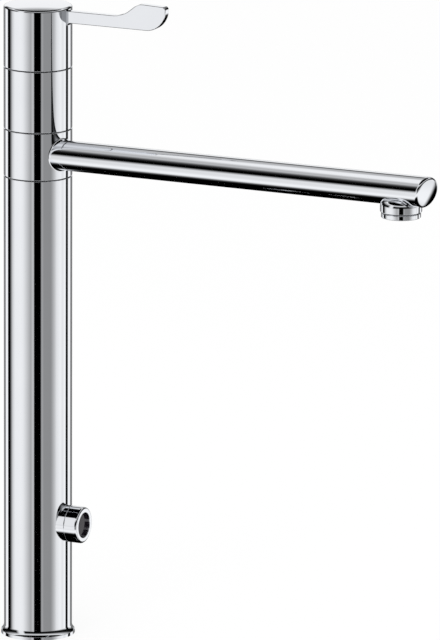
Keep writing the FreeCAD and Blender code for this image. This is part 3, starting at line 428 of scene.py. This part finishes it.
# %% Turn the column and drill the sensor's hole
sensor_z = 85.0
sensor_axis = (0, 0, sensor_z)
sensor_bore = 9.6
hole_start = 10.0
hole_end = 40.0
ring_gap = 14.0
column_profile = soften([
    (column_bore, column_low[2]),
    (column_radius, column_low[2]),
    (column_radius, sensor_z - ring_gap),
    (column_radius, sensor_z + ring_gap),
    (column_radius, column_high[2], SEAM_ROUND),
    (column_bore, column_high[2]),
    (column_bore, sensor_z + ring_gap),
    (column_bore, sensor_z - ring_gap),
])
column = turned("column", column_profile)
drill(column, sensor_bore, hole_start, hole_end, "X", sensor_axis)
finish_piece(column, chrome, "column", "column_tube")

# %% [markdown]
# ## Sensor housing
# A sleeve is brazed onto the column, and a bezel screws onto it and holds a dark window. Both are lathe
# parts on a level axis. The sleeve's back is cut by a rod of the column's size, which gives the same saddle
# as the real joint. The bezel has a round nose and a step for the window.

# %% Turn the sleeve and the bezel
_, sleeve_high = extent("sensor_sleeve")
bezel_low, bezel_high = extent("sensor_bezel")
lens_low, lens_high = extent("sensor_lens")
sensor_radius = 13.4
thread_radius = 11.4
opening_radius = 9.25
nose_round = 1.6
sleeve_back = 20.0
sleeve_profile = soften([
    (sensor_bore, sleeve_back),
    (sensor_radius, sleeve_back),
    (sensor_radius, bezel_low[0], SEAM_ROUND),
    (thread_radius, bezel_low[0]),
    (thread_radius, sleeve_high[0]),
    (sensor_bore, sleeve_high[0]),
])
sleeve = turned("sleeve", sleeve_profile, "X", sensor_axis, SMALL_STEPS)
drill(sleeve, column_radius + FIT_GAP, sensor_z - SADDLE_REACH, sensor_z + SADDLE_REACH, sides=BIG_STEPS)
finish_piece(sleeve, chrome, "column", "sensor_sleeve")

bezel_profile = soften([
    (thread_radius + FIT_GAP, bezel_low[0]),
    (sensor_radius, bezel_low[0], SEAM_ROUND),
    (sensor_radius, bezel_high[0], nose_round),
    (opening_radius, bezel_high[0], SEAM_ROUND),
    (opening_radius, lens_high[0]),
    (thread_radius + FIT_GAP, lens_high[0]),
])
bezel = turned("bezel", bezel_profile, "X", sensor_axis, SMALL_STEPS)
finish_piece(bezel, chrome, "column", "sensor_bezel")

# %% [markdown]
# ## Sensor window
# The window is a disc of nearly black plastic that lets infrared through. It is moulded, so its surface is
# glossy, and its face is very slightly domed. A violet tint shows where light falls on it at a flat angle,
# which a tinted coat over a nearly black base gives.

# %% Turn the window and make its plastic
LENS_COLOR = (0.012, 0.010, 0.014)
lens_plastic = grained("dark_window", LENS_COLOR, 0.0, (0.05, 0.09), contrast=0.25, grains=700,
                       depth=0.0000004)
lens_shader = lens_plastic.node_tree.nodes["Principled BSDF"]
lens_shader.inputs["Specular IOR Level"].default_value = 0.15
lens_shader.inputs["Coat Weight"].default_value = 0.15
lens_shader.inputs["Coat Roughness"].default_value = 0.04
lens_shader.inputs["Coat Tint"].default_value = (0.93, 0.86, 0.95, 1)
lens_crown = 0.15
lens_steps = 8
lens_radius = thread_radius - FIT_GAP
lens_curve = (lens_radius ** 2 + lens_crown ** 2) / (2 * lens_crown)
lens_profile = [(0.0, lens_low[0]), (lens_radius, lens_low[0])]
for step in range(lens_steps + 1):
    reach = lens_radius * (1 - step / lens_steps)
    lens_profile.append((reach, lens_high[0] - lens_curve + math.sqrt(lens_curve ** 2 - reach ** 2)))
lens = turned("lens", lens_profile, "X", sensor_axis, SMALL_STEPS, closed=False)
finish_piece(lens, lens_plastic, "column", "sensor_lens")

# %% [markdown]
# ## Spout root
# The spout rises a little as it leaves the column, and in the photograph it is swung towards the viewer. Each
# of its pieces is modelled along X first, raised about the point where the spout's axis crosses the column's,
# and swung last. The spout's root grows out of its ring in a small fillet, as a casting does. The root is a
# net whose rings follow a ball that rolls in the corner between the ring and the raised root.

# %% Lay the spout's root
SPOUT_RISE = math.radians(4.4)
SPOUT_TURN = math.radians(-18.5)
root_round = 1.5
root_start = 19.5
root_start_radius = 9.0
root_end = 36.0
nose_end = 44.0
nose_radius = 9.57
fillet_rings = 10
contact_lift = 0.005
spout_axis = (0, 0, spout_z)
spout_pivot = Vector(spout_axis) * MM
spout_along = Vector((math.cos(SPOUT_RISE), 0, math.sin(SPOUT_RISE)))
spout_up = Vector((-math.sin(SPOUT_RISE), 0, math.cos(SPOUT_RISE)))


def raise_spout(piece):
    """Tilt a piece of the spout up about the point where its axis crosses the column's."""
    tilt = Matrix.Rotation(-SPOUT_RISE, 4, "Y")
    piece.matrix_world = Matrix.Translation(spout_pivot) @ tilt @ Matrix.Translation(-spout_pivot)
    choose(piece)
    bpy.ops.object.transform_apply(location=True, rotation=True, scale=True)


def swing_spout(piece):
    """Swing a piece of the spout to the photographed side."""
    piece.rotation_euler.z = SPOUT_TURN
    choose(piece)
    bpy.ops.object.transform_apply(location=True, rotation=True, scale=True)


def root_place(ring, angle):
    """Where a corner of the root's net belongs, from ring 0 in the ring's wall to the nose."""
    out = spout_up * math.cos(angle) + Vector((0, math.sin(angle), 0))
    axis_start = Vector(spout_axis)
    if 1 <= ring <= fillet_rings + 1:
        aside = out * (spout_radius + root_round)
        reach = math.sqrt((column_radius + root_round) ** 2 - aside.y ** 2)
        ball = axis_start + spout_along * (reach - aside.x) / spout_along.x + aside
        to_ring = Vector((-ball.x, -ball.y, 0)).normalized() * (root_round - contact_lift)
        return ball + swing(to_ring, -out * root_round, (ring - 1) / fillet_rings)
    stations = {
        0: (root_start, root_start_radius),
        fillet_rings + 2: (root_end, spout_radius),
        fillet_rings + 3: (root_end, nose_radius),
        fillet_rings + 4: (nose_end, nose_radius),
    }
    along, radius = stations[ring]
    return axis_start + spout_along * along + out * radius


root = laid_net("root", fillet_rings + 5, SMALL_STEPS, root_place)
print("root net:", len(root.data.vertices), "corners")

# %% [markdown]
# ## Ring and root together
# With the root ready, the ring is turned, with a shallow recess for a washer at each end. The two are joined,
# the ring's bore is cleared again, and the water's way is drilled through both.
#
# Inside the ring, at the back, a shallow slot takes the stop pin that ends the swing at either side. It is
# a part of a turn, so a small rectangle is spun through just that angle and cut out.

# %% Turn the ring, join the root and cut the slot
ring_bore = 19.05
recess_radius = 23.0
recess_depth = 1.0
port_radius = 7.0
port_start = 10.0
port_end = nose_end + 5
slot_half_angle = 74.1
slot_inner = 10.0
slot_clearance = 0.2
pin_low, pin_high = extent("swivel_stop_pin")
slot_radius = slot_clearance - pin_low[0]
slot_top = pin_high[2] + slot_clearance
ring_profile = soften([
    (ring_bore, ring_low[2] + recess_depth),
    (recess_radius, ring_low[2] + recess_depth),
    (recess_radius, ring_low[2]),
    (column_radius, ring_low[2], SEAM_ROUND),
    (column_radius, ring_high[2], SEAM_ROUND),
    (recess_radius, ring_high[2]),
    (recess_radius, ring_high[2] - recess_depth),
    (ring_bore, ring_high[2] - recess_depth),
])
spout_ring = turned("spout_ring_band", ring_profile)
combine(spout_ring, root, "UNION")
drill(spout_ring, ring_bore, ring_low[2] - TOOL_MARGIN, ring_high[2] + TOOL_MARGIN, sides=BIG_STEPS)
port_tool = rod(port_radius, port_start, port_end, "X", spout_axis)
raise_spout(port_tool)
combine(spout_ring, port_tool, "DIFFERENCE")
slot_profile = [
    (slot_inner, ring_low[2] - TOOL_MARGIN),
    (slot_radius, ring_low[2] - TOOL_MARGIN),
    (slot_radius, slot_top),
    (slot_inner, slot_top),
]
slot_tool = turned("slot_tool", slot_profile, steps=120, angle=2 * slot_half_angle)
choose(slot_tool)
slot_tool.rotation_euler.z = math.radians(180 - slot_half_angle)
bpy.ops.object.transform_apply(location=True, rotation=True, scale=True)
combine(spout_ring, slot_tool, "DIFFERENCE")
swing_spout(spout_ring)
finish_piece(spout_ring, chrome, "spout", "spout_ring")

# %% [markdown]
# ## Spout tube
# The spout is a straight tube with a thin wall and a hole on its underside, over the outlet. A spun section
# gives the wall an inside as well as an outside, so the hole can be drilled through it like the real one.

# %% Turn the tube and drill the outlet
outlet_x = 361.0
outlet_axis = (outlet_x, 0, 0)
outlet_hole = 6.8
hole_depth = 20.0
hole_edge = 0.4
outlet_z = spout_z + outlet_x * math.tan(SPOUT_RISE)
outlet_reach = outlet_x / math.cos(SPOUT_RISE)
tube_bore = 9.6
tube_end = outlet_reach + outlet_hole + hole_edge
tube_profile = [
    (tube_bore, root_end),
    (spout_radius, root_end),
    (spout_radius, tube_end),
    (tube_bore, tube_end),
]
tube = turned("tube", tube_profile, "X", spout_axis, SMALL_STEPS)
raise_spout(tube)
drill(tube, outlet_hole, outlet_z - hole_depth, outlet_z, centre=outlet_axis)
swing_spout(tube)
finish_piece(tube, chrome, "spout", "spout_tube")

# %% [markdown]
# ## Domed end of the spout
# The tube is closed by a plug whose face looks down by 17 degrees and is slightly domed, with a soft round
# all along its oval rim. A bevel on a cut cylinder would make that round tighter at the top than at the
# bottom. So the net's rings follow a ball again, this time inside the corner, and then run over the dome.

# %% Lay the end plug
face_tilt = math.radians(17.0)
face_normal = Vector((math.cos(face_tilt), 0, -math.sin(face_tilt)))
face_offset = 25.0
dome_radius = 90.0
dome_crown = 0.6
rim_round = 2.0
dome_centre = Vector((outlet_reach + face_offset, 0, 0)) + face_normal * (dome_crown - dome_radius)
rim_rings = 10
dome_rings = 10


def plug_place(ring, angle):
    """Where a corner of the plug's net belongs, from ring 0 at the tube to the dome's pole."""
    out = Vector((0, math.sin(angle), math.cos(angle)))
    if ring == 0:
        point = Vector((tube_end, 0, 0)) + out * spout_radius
        return point.x, point.y, spout_z + point.z
    ball = out * (spout_radius - rim_round)
    aside = (ball.y - dome_centre.y) ** 2 + (ball.z - dome_centre.z) ** 2
    ball.x = dome_centre.x + math.sqrt((dome_radius - rim_round) ** 2 - aside)
    to_dome = (ball - dome_centre).normalized()
    if ring <= rim_rings + 1:
        point = ball + swing(out, to_dome, (ring - 1) / rim_rings) * rim_round
    else:
        share = (ring - rim_rings - 1) / dome_rings
        toward = swing(to_dome, face_normal, share) if share < 1 else face_normal
        point = dome_centre + toward * dome_radius
    return point.x, point.y, spout_z + point.z


plug = laid_net("plug", rim_rings + dome_rings + 2, SMALL_STEPS, plug_place)
raise_spout(plug)
swing_spout(plug)
finish_piece(plug, chrome, "spout", "spout_end_plug")

# %% [markdown]
# ## Outlet collar and aerator ring
# Under the spout's end a collar with a rounded shoulder holds the aerator. It is turned, then cut to sit on
# the tube as a pipe saddle does. The aerator ring screws in from below, and both its edges are broken.

# %% Turn the collar and the aerator ring
collar_low, _ = extent("outlet_collar")
aerator_low, _ = extent("aerator_ring")
aerator_seal_low, _ = extent("aerator_seal")
collar_radius = 14.8
shoulder_round = 5.0
shoulder_drop = 6.0
shoulder_top = outlet_z - shoulder_drop
collar_edge = 1.0
edge_round_below = 0.2
edge_round_aside = 0.5
collar_thread = 12.03
thread_depth = 3.4
aerator_bore = 10.0
aerator_radius = 14.0
collar_profile = soften([
    (outlet_hole, collar_low[2] + thread_depth),
    (collar_thread, collar_low[2] + thread_depth),
    (collar_thread, collar_low[2]),
    (collar_radius - collar_edge, collar_low[2], edge_round_below),
    (collar_radius, collar_low[2] + collar_edge, edge_round_aside),
    (collar_radius, shoulder_top, shoulder_round),
    (outlet_hole, shoulder_top),
])
collar = turned("collar", collar_profile, centre=outlet_axis)
saddle_start = outlet_x - SADDLE_REACH
saddle_end = outlet_x + SADDLE_REACH
saddle_tool = rod(spout_radius + FIT_GAP, saddle_start, saddle_end, "X", spout_axis, BIG_STEPS)
raise_spout(saddle_tool)
combine(collar, saddle_tool, "DIFFERENCE")
swing_spout(collar)
finish_piece(collar, chrome, "spout", "outlet_collar")

aerator_profile = soften([
    (aerator_bore, aerator_seal_low[2]),
    (aerator_bore, aerator_low[2], SEAM_ROUND),
    (aerator_radius, aerator_low[2], SEAM_ROUND),
    (aerator_radius, collar_low[2], SEAM_ROUND),
    (collar_thread - FIT_GAP, collar_low[2]),
    (collar_thread - FIT_GAP, aerator_seal_low[2]),
])
aerator = turned("aerator", aerator_profile, centre=outlet_axis, steps=SMALL_STEPS)
swing_spout(aerator)
finish_piece(aerator, chrome, "spout", "aerator_ring")

# %% [markdown]
# ## Head
# The head is a plain turned sleeve with broken edges. It looks simple, but the narrow seams above and below
# it make the tap's rhythm, so its edges get the same small round as the column and the ring.

# %% Turn the head
nut_low, _ = extent("cartridge_nut")
head_bore = 17.56
nut_pocket = 20.0
head_profile = soften([
    (head_bore, head_low[2]),
    (column_radius, head_low[2], SEAM_ROUND),
    (column_radius, head_high[2], SEAM_ROUND),
    (nut_pocket, head_high[2]),
    (nut_pocket, nut_low[2]),
    (head_bore, nut_low[2]),
])
head = turned("head", head_profile)
finish_piece(head, chrome, "column", "head_sleeve")

# %% [markdown]
# ## Lever
# Hub and arm are one casting. The hub is a cap with a slightly crowned top and a boss inside that grips the
# stem. The arm is flat metal: its side view is drawn as a line, filled, pulled to its thickness and given
# rounded edges, and then joined to the hub. The neck, the shoulder and the tip are arcs that run on into the
# straight parts without a kink, because the eye follows the highlight along that edge.

# %% Draw the arm
arm_thickness = 6.0
arm_edge = 1.5
hub_height = 45.1
arm_drop = 2.4
arm_height = 8.8
paddle_rise = 10.1
hub_low_z = lever_low[2]
hub_top = hub_low_z + hub_height
arm_top = hub_top - arm_drop
arm_bottom = arm_top - arm_height
paddle_top = arm_top + paddle_rise
lever_tip = lever_high[0]
neck_radius = 22.0
neck_x = 61.5
neck_slope = 38.0
shoulder_radius = 12.0
paddle_fall = 2.0
corner_round = 2.5
root_round_below = 3.0
arm_sink = 0.2
wall_x = column_radius - arm_sink
root_x = 23.25

slope = math.radians(neck_slope)
neck = arc((neck_x, arm_top + neck_radius), neck_radius, -90, neck_slope - 90, steps=14)
shoulder_z = paddle_top - shoulder_radius
slope_run = (shoulder_z + shoulder_radius * math.cos(slope) - neck[-1][1]) / math.tan(slope)
shoulder_centre = (neck[-1][0] + slope_run + shoulder_radius * math.sin(slope), shoulder_z)
shoulder = arc(shoulder_centre, shoulder_radius, 90 + neck_slope, 90 - paddle_fall, steps=14)
fall = math.radians(paddle_fall)
corner_x = lever_tip - corner_round
roof_z = shoulder[-1][1] - (corner_x - shoulder[-1][0]) * math.tan(fall)
corner_z = roof_z - corner_round / math.cos(fall)
corner = arc((corner_x, corner_z), corner_round, 90 - paddle_fall, 0, steps=10)
tip_curve = corner_z - arm_bottom
tip = arc((lever_tip - tip_curve, corner_z), tip_curve, 0, -90, steps=18)
root_z = arm_bottom - root_round_below
root_arc = arc((wall_x + root_round_below, root_z), root_round_below, 90, 180, steps=8)
side_view = [(root_x, arm_top), *neck, *shoulder, *corner, *tip[1:], *root_arc, (root_x, root_z)]

arm = draw_chain("arm", [(x, -arm_thickness / 2, z) for x, z in side_view], closed=True)
bpy.ops.object.mode_set(mode="EDIT")
bpy.ops.mesh.select_all(action="SELECT")
bpy.ops.mesh.edge_face_add()
bpy.ops.mesh.extrude_region_move(TRANSFORM_OT_translate={"value": (0, arm_thickness * MM, 0)})
bpy.ops.mesh.select_all(action="SELECT")
bpy.ops.mesh.normals_make_consistent(inside=False)
bpy.ops.object.mode_set(mode="OBJECT")
bpy.ops.object.modifier_add(type="BEVEL")
edge_bevel = arm.modifiers[-1]
edge_bevel.width = arm_edge * MM
edge_bevel.segments = 7
edge_bevel.limit_method = "ANGLE"
edge_bevel.angle_limit = math.radians(60)
bpy.ops.object.modifier_apply(modifier=edge_bevel.name)
print("arm:", len(arm.data.polygons), "faces")

# %% Turn the hub, join the arm and drill the boss
hub_edge = 2.0
hub_crown = 1.0
hub_bore = 21.5
roof_thickness = 6.3
ceiling = hub_top - roof_thickness
boss_radius = 9.0
boss_lift = 2.3
boss_bottom = hub_low_z + boss_lift
hexagon_width = 8.6
hexagon_gap = 0.06
hexagon_headroom = 2.0
screw_hole = 2.53
plug_hole = 3.03
screw_steps = 64
plug_steps = 96
plug_low, plug_high = extent("screw_plug")
screw_axis = (0, 0, round((plug_low[2] + plug_high[2]) / 2, 2))
_, stem_high = extent("stem")
crown_reach = column_radius - hub_edge
crown_radius = (crown_reach ** 2 + hub_crown ** 2) / (2 * hub_crown)
crown_angle = math.degrees(math.asin(crown_reach / crown_radius))
hub_profile = soften([
    (0.0, boss_bottom),
    (boss_radius, boss_bottom),
    (boss_radius, ceiling),
    (hub_bore, ceiling),
    (hub_bore, hub_low_z),
    (column_radius, hub_low_z, SEAM_ROUND),
    (column_radius, hub_top - hub_edge),
], closed=False)
hub_profile += arc((crown_reach, hub_top - hub_edge), hub_edge, 0, 90, steps=9)[1:]
crown_centre = (0.0, hub_top + hub_crown - crown_radius)
hub_profile += arc(crown_centre, crown_radius, 90 - crown_angle, 90, steps=12)[1:]
hub = turned("hub", hub_profile, closed=False)
combine(hub, arm, "UNION")
socket_corner = (hexagon_width / 2 + hexagon_gap) / math.cos(math.radians(30))
drill(hub, socket_corner, boss_bottom - TOOL_MARGIN, stem_high[2] + hexagon_headroom, sides=6)
behind_boss = -boss_radius - TOOL_MARGIN
drill(hub, screw_hole, behind_boss, 0.0, "X", screw_axis, screw_steps)
drill(hub, plug_hole, -column_radius - TOOL_MARGIN, behind_boss, "X", screw_axis, plug_steps)
finish_piece(hub, chrome, "handle", "lever")

# %% [markdown]
# ## Screw plug
# A small plug closes the hole at the back where a screw clamps the lever to its stem. Its face follows the
# hub's curve, so a short rod is cut by a cylinder of the hub's size.

# %% Cut the plug
plug_radius = 3.0
cutter_reach = 10.0
screw_plug = rod(plug_radius, plug_low[0] - TOOL_MARGIN, plug_high[0], "X", screw_axis, plug_steps)
hub_cylinder = rod(column_radius, -cutter_reach, cutter_reach, centre=screw_axis, sides=BIG_STEPS)
combine(screw_plug, hub_cylinder, "INTERSECT")
finish_piece(screw_plug, chrome, "handle", "screw_plug")

# %% [markdown]
# ## Finishes inside the tap
# The pieces inside keep their CAD shapes, which are right, and get the finish of what they are: turned
# brass, drawn steel, moulded plastic and rubber, ground ceramic. Each of these is the grained finish with
# its own colour, gloss and grain, and some are squeezed along one axis to look turned or drawn.

# %% Make the inner finishes
inner_finishes = {
    "chrome": chrome,
    "brass": grained("turned_brass", (0.72, 0.52, 0.24), 1.0, (0.22, 0.38), 0.08, 1400, 0.000004, (1, 1, 6)),
    "steel": grained("drawn_steel", (0.56, 0.57, 0.58), 1.0, (0.24, 0.36), 0.05, 1600, 0.000003, (4, 4, 0.4)),
    "seal_rubber": grained("seal_rubber", (0.018, 0.018, 0.019), 0.0, (0.5, 0.7), 0.3, 2600, 0.00001),
    "white_plastic": grained("white_plastic", (0.78, 0.78, 0.76), 0.0, (0.3, 0.45), 0.03, 1900, 0.000005),
    "black_plastic": grained("black_plastic", (0.02, 0.02, 0.022), 0.0, (0.35, 0.55), 0.25, 2200, 0.000006),
    "dark_lens": lens_plastic,
    "clear_resin": grained("clear_resin", (0.35, 0.36, 0.42), 0.0, (0.05, 0.12), 0.1, 900),
    "circuit_board": grained("circuit_board", (0.02, 0.16, 0.06), 0.0, (0.3, 0.45), 0.35, 1500, 0.00001),
    "winding": grained(
        "varnished_winding", (0.30, 0.09, 0.03), 0.4, (0.3, 0.45), 0.3, 700, 0.00004, (1, 1, 9)),
    "disc_ceramic": grained("ground_ceramic", (0.80, 0.79, 0.76), 0.0, (0.12, 0.22), 0.02, 3000, 0.000001),
}
resin_shader = inner_finishes["clear_resin"].node_tree.nodes["Principled BSDF"]
resin_shader.inputs["Transmission Weight"].default_value = 0.7

for entry in frame["record"]["subparts"]:
    piece = frame["nodes"][entry["node"]]
    piece.data.materials.clear()
    piece.data.materials.append(inner_finishes[entry["material_slot"]])

# %% [markdown]
# ## Floor
# The tap stands on a white table that fades into a white background. The floor shows itself to the camera
# as almost pure white and still keeps a faint soft shadow. It stays out of the chrome, which mirrors the
# studio of the next step instead.

# %% Lay the floor
floor_size = 60.0
floor_grey = 0.95
floor_glow = 1.03
glow_share = 0.8
bpy.ops.object.select_all(action="DESELECT")
bpy.ops.mesh.primitive_plane_add(size=floor_size, location=(0, 0, 0))
floor = bpy.context.object
floor.name = "floor"
floor.visible_glossy = False
floor_paint = bpy.data.materials.new("white_table")
floor_paint.use_nodes = True
tree = floor_paint.node_tree
tree.nodes.remove(tree.nodes["Principled BSDF"])
soft = tree.nodes.new("ShaderNodeBsdfDiffuse")
soft.inputs["Color"].default_value = (floor_grey, floor_grey, floor_grey, 1)
glow = tree.nodes.new("ShaderNodeEmission")
glow.inputs["Strength"].default_value = floor_glow
paths = tree.nodes.new("ShaderNodeLightPath")
share = tree.nodes.new("ShaderNodeMath")
share.operation = "MULTIPLY"
share.inputs[1].default_value = glow_share
mixer = tree.nodes.new("ShaderNodeMixShader")
tree.links.new(paths.outputs["Is Camera Ray"], share.inputs[0])
tree.links.new(share.outputs[0], mixer.inputs["Fac"])
tree.links.new(soft.outputs["BSDF"], mixer.inputs[1])
tree.links.new(glow.outputs["Emission"], mixer.inputs[2])
tree.links.new(mixer.outputs["Shader"], tree.nodes["Material Output"].inputs["Surface"])
floor.data.materials.append(floor_paint)

# %% [markdown]
# ## Studio
# Chrome has no look of its own: it shows the room. A photographer surrounds a tap with white panels and
# puts black cards between them, and their edges draw the tap's form. The room is made in the world here, as
# a function of direction, in degrees round from the camera's own direction and above the horizon. Each list
# of stops gives degrees and the grey, from 0 to 255, that a screen would show there.
#
# Upright surfaces mirror the row of panels. The spout mirrors the light below them, the dark band above them
# and then the ceiling, which is black overhead. A white panel reaches up at one side for the sensor, a bright
# one behind lights the hub's top, and a dark one low behind draws the rim of the spout's end. The camera
# itself sees plain white, and dull surfaces get even light.

# %% Build the world
world = bpy.data.worlds.new("studio")
bpy.context.scene.world = world
world.use_nodes = True
tree = world.node_tree
tree.nodes.clear()


def math_node(operation, *values):
    """A Math node whose inputs are numbers or other nodes' outputs."""
    made = tree.nodes.new("ShaderNodeMath")
    made.operation = operation
    for socket, value in zip(made.inputs, values):
        if isinstance(value, (int, float)):
            socket.default_value = value
        else:
            tree.links.new(value, socket)
    return made.outputs[0]


def mix_colors(factor, first, second):
    """Mix two colours by a factor."""
    made = tree.nodes.new("ShaderNodeMix")
    made.data_type = "RGBA"
    colors = [socket for socket in made.inputs if socket.type == "RGBA"]
    tree.links.new(factor, made.inputs[0])
    for socket, value in zip(colors, (first, second)):
        if isinstance(value, (int, float)):
            socket.default_value = (value, value, value, 1)
        else:
            tree.links.new(value, socket)
    return [socket for socket in made.outputs if socket.type == "RGBA"][0]


def linear(shade):
    """Linear light for a grey that a screen shows as a number from 0 to 255."""
    value = shade / 255
    return value / 12.92 if value <= 0.04045 else ((value + 0.055) / 1.055) ** 2.4


def stops_in_degrees(stops, low, high):
    """Turn (degrees, grey as it looks from 0 to 255) stops into ramp stops with linear greys."""
    return [((degrees - low) / (high - low), linear(shade)) for degrees, shade in stops]


def across(stops):
    """A ramp over the degrees round from the camera's own direction."""
    return ramp(tree, azimuth_share, stops_in_degrees(stops, -180, 180))


def upwards(stops):
    """A ramp over the degrees above the horizon."""
    return ramp(tree, elevation_share, stops_in_degrees(stops, -90, 90))


CAMERA_AZIMUTH = 26.891
SIDE_GREY = 240
BEHIND_GREY = 250
EVEN_LIGHT = 0.85
WHITE = 1.0
BLACK = 0.0
facing = -90 + CAMERA_AZIMUTH
direction = tree.nodes.new("ShaderNodeTexCoord").outputs["Generated"]
split = tree.nodes.new("ShaderNodeSeparateXYZ")
tree.links.new(direction, split.inputs[0])
azimuth = math_node("DEGREES", math_node("ARCTAN2", split.outputs["Y"], split.outputs["X"]))
turned_azimuth = math_node("WRAP", math_node("SUBTRACT", azimuth, facing), -180.0, 180.0)
azimuth_share = math_node("DIVIDE", math_node("ADD", turned_azimuth, 180.0), 360.0)
elevation = math_node("DEGREES", math_node("ARCSINE", split.outputs["Z"]))
elevation_share = math_node("DIVIDE", math_node("ADD", elevation, 90.0), 180.0)

panels = across([
    (-141, 135), (-139, 255), (-123, 255), (-121.5, 0), (-108, 0), (-101, 156), (-95, 216), (-84, 247),
    (-61, 249), (-52, 243), (-46, 231), (-24, 169), (-18, 200), (-14, 188), (-12.8, 0), (9.2, 0), (11, 156),
    (15, 169), (19, 148), (44, 147), (50, 171), (58, 201), (66, 235), (82, 252), (92, 237), (102, 255),
    (107, 255), (109, 0), (120.5, 0), (123, 255), (140, 255), (142, 125)])
low_mask = upwards([(-19, 255), (-16.5, 0)])
low_light = upwards([
    (-46.5, 0), (-42.3, 95), (-37.6, 228), (-33, 255), (-28, 253), (-22, 238), (-18, 236)])
dark_band = upwards([(-5, 0), (6.5, 255)])
ceiling_mask = upwards([(15, 0), (16, 255)])
ceiling_light = upwards([
    (15, 0), (20, 26), (25, 72), (29, 140), (33, 196), (36.5, 184), (39.5, 210), (41.5, 249), (43.5, 249),
    (48, 0)])
side = across([(-78, 0), (-66, 255), (-52, 255), (-45, 0)])
side_rows = upwards([(-5, 0), (1, 255), (36, 255), (47, 0)])
behind = across([(-165, 255), (-150, 0), (150, 0), (165, 255)])
behind_rows = upwards([(-4, 0), (2, 255), (17, 255), (22, 0)])
low_back = across([(-150, 255), (-135, 0), (102, 0), (107, 255)])
low_back_rows = upwards([(-21, 255), (-17.5, 0)])

room = mix_colors(low_mask, panels, low_light)
room = mix_colors(dark_band, room, BLACK)
room = mix_colors(ceiling_mask, room, ceiling_light)
room = mix_colors(math_node("MULTIPLY", side, side_rows), room, linear(SIDE_GREY))
room = mix_colors(math_node("MULTIPLY", behind, behind_rows), room, linear(BEHIND_GREY))
room = mix_colors(math_node("MULTIPLY", low_back, low_back_rows), room, BLACK)

paths = tree.nodes.new("ShaderNodeLightPath")
evenly_lit = mix_colors(paths.outputs["Is Glossy Ray"], EVEN_LIGHT, room)
seen = mix_colors(paths.outputs["Is Camera Ray"], evenly_lit, WHITE)
background = tree.nodes.new("ShaderNodeBackground")
tree.links.new(seen, background.inputs["Color"])
output = tree.nodes.new("ShaderNodeOutputWorld")
tree.links.new(background.outputs[0], output.inputs["Surface"])
print("studio:", len(tree.nodes), "nodes")

# %% [markdown]
# ## Soft lamp
# The white room lights the dull pieces evenly. One large lamp, high in front and a little to the left, adds
# the direction that the eye expects and makes the faint shadow at the foot. The chrome doesn't mirror it.

# %% Hang the lamp
lamp_data = bpy.data.lights.new("soft_lamp", "AREA")
lamp_data.energy = 14.0
lamp_data.size = 1.6
lamp = bpy.data.objects.new("soft_lamp", lamp_data)
bpy.context.scene.collection.objects.link(lamp)
lamp.location = (0.4, -1.6, 2.2)
lamp.rotation_euler = (Vector((0, 0, 0.2)) - lamp.location).to_track_quat("-Z", "Y").to_euler()
lamp.visible_glossy = False

# %% [markdown]
# ## Camera
# The photograph was taken from the side where the spout is swung to, with a long lens that looks down by
# 13 degrees. The camera's place was found by matching the seams and the spout's outlines. Its direction is
# built from three turns: sideways, down, and about the line of sight.

# %% Place the camera
camera_distance = 6.0
camera_height = 1.6286
camera_yaw = math.radians(1.271)
camera_pitch = math.radians(13.068)
camera_roll = math.radians(0.287)
azimuth_angle = math.radians(CAMERA_AZIMUTH)
back = Vector((math.sin(azimuth_angle), -math.cos(azimuth_angle), 0))
sideways = Vector((math.cos(azimuth_angle), math.sin(azimuth_angle), 0))
upward = Vector((0, 0, 1))
ahead = sideways * math.sin(camera_yaw) - back * math.cos(camera_yaw)
right = sideways * math.cos(camera_yaw) + back * math.sin(camera_yaw)
forward = ahead * math.cos(camera_pitch) - upward * math.sin(camera_pitch)
top = upward * math.cos(camera_pitch) + ahead * math.sin(camera_pitch)
level = right * math.cos(camera_roll) + top * math.sin(camera_roll)
top = top * math.cos(camera_roll) - right * math.sin(camera_roll)

camera_data = bpy.data.cameras.new("camera")
camera_data.sensor_fit = "VERTICAL"
camera_data.sensor_height = 36.0
camera_data.lens = 473.75
camera_data.clip_end = 100.0
camera = bpy.data.objects.new("camera", camera_data)
bpy.context.scene.collection.objects.link(camera)
camera.matrix_world = Matrix([
    (level.x, top.x, -forward.x, back.x * camera_distance),
    (level.y, top.y, -forward.y, back.y * camera_distance),
    (level.z, top.z, -forward.z, camera_height),
    (0, 0, 0, 1),
])
bpy.context.scene.camera = camera
bpy.context.scene.view_settings.view_transform = "Standard"
print("camera at", [round(value, 3) for value in camera.location])
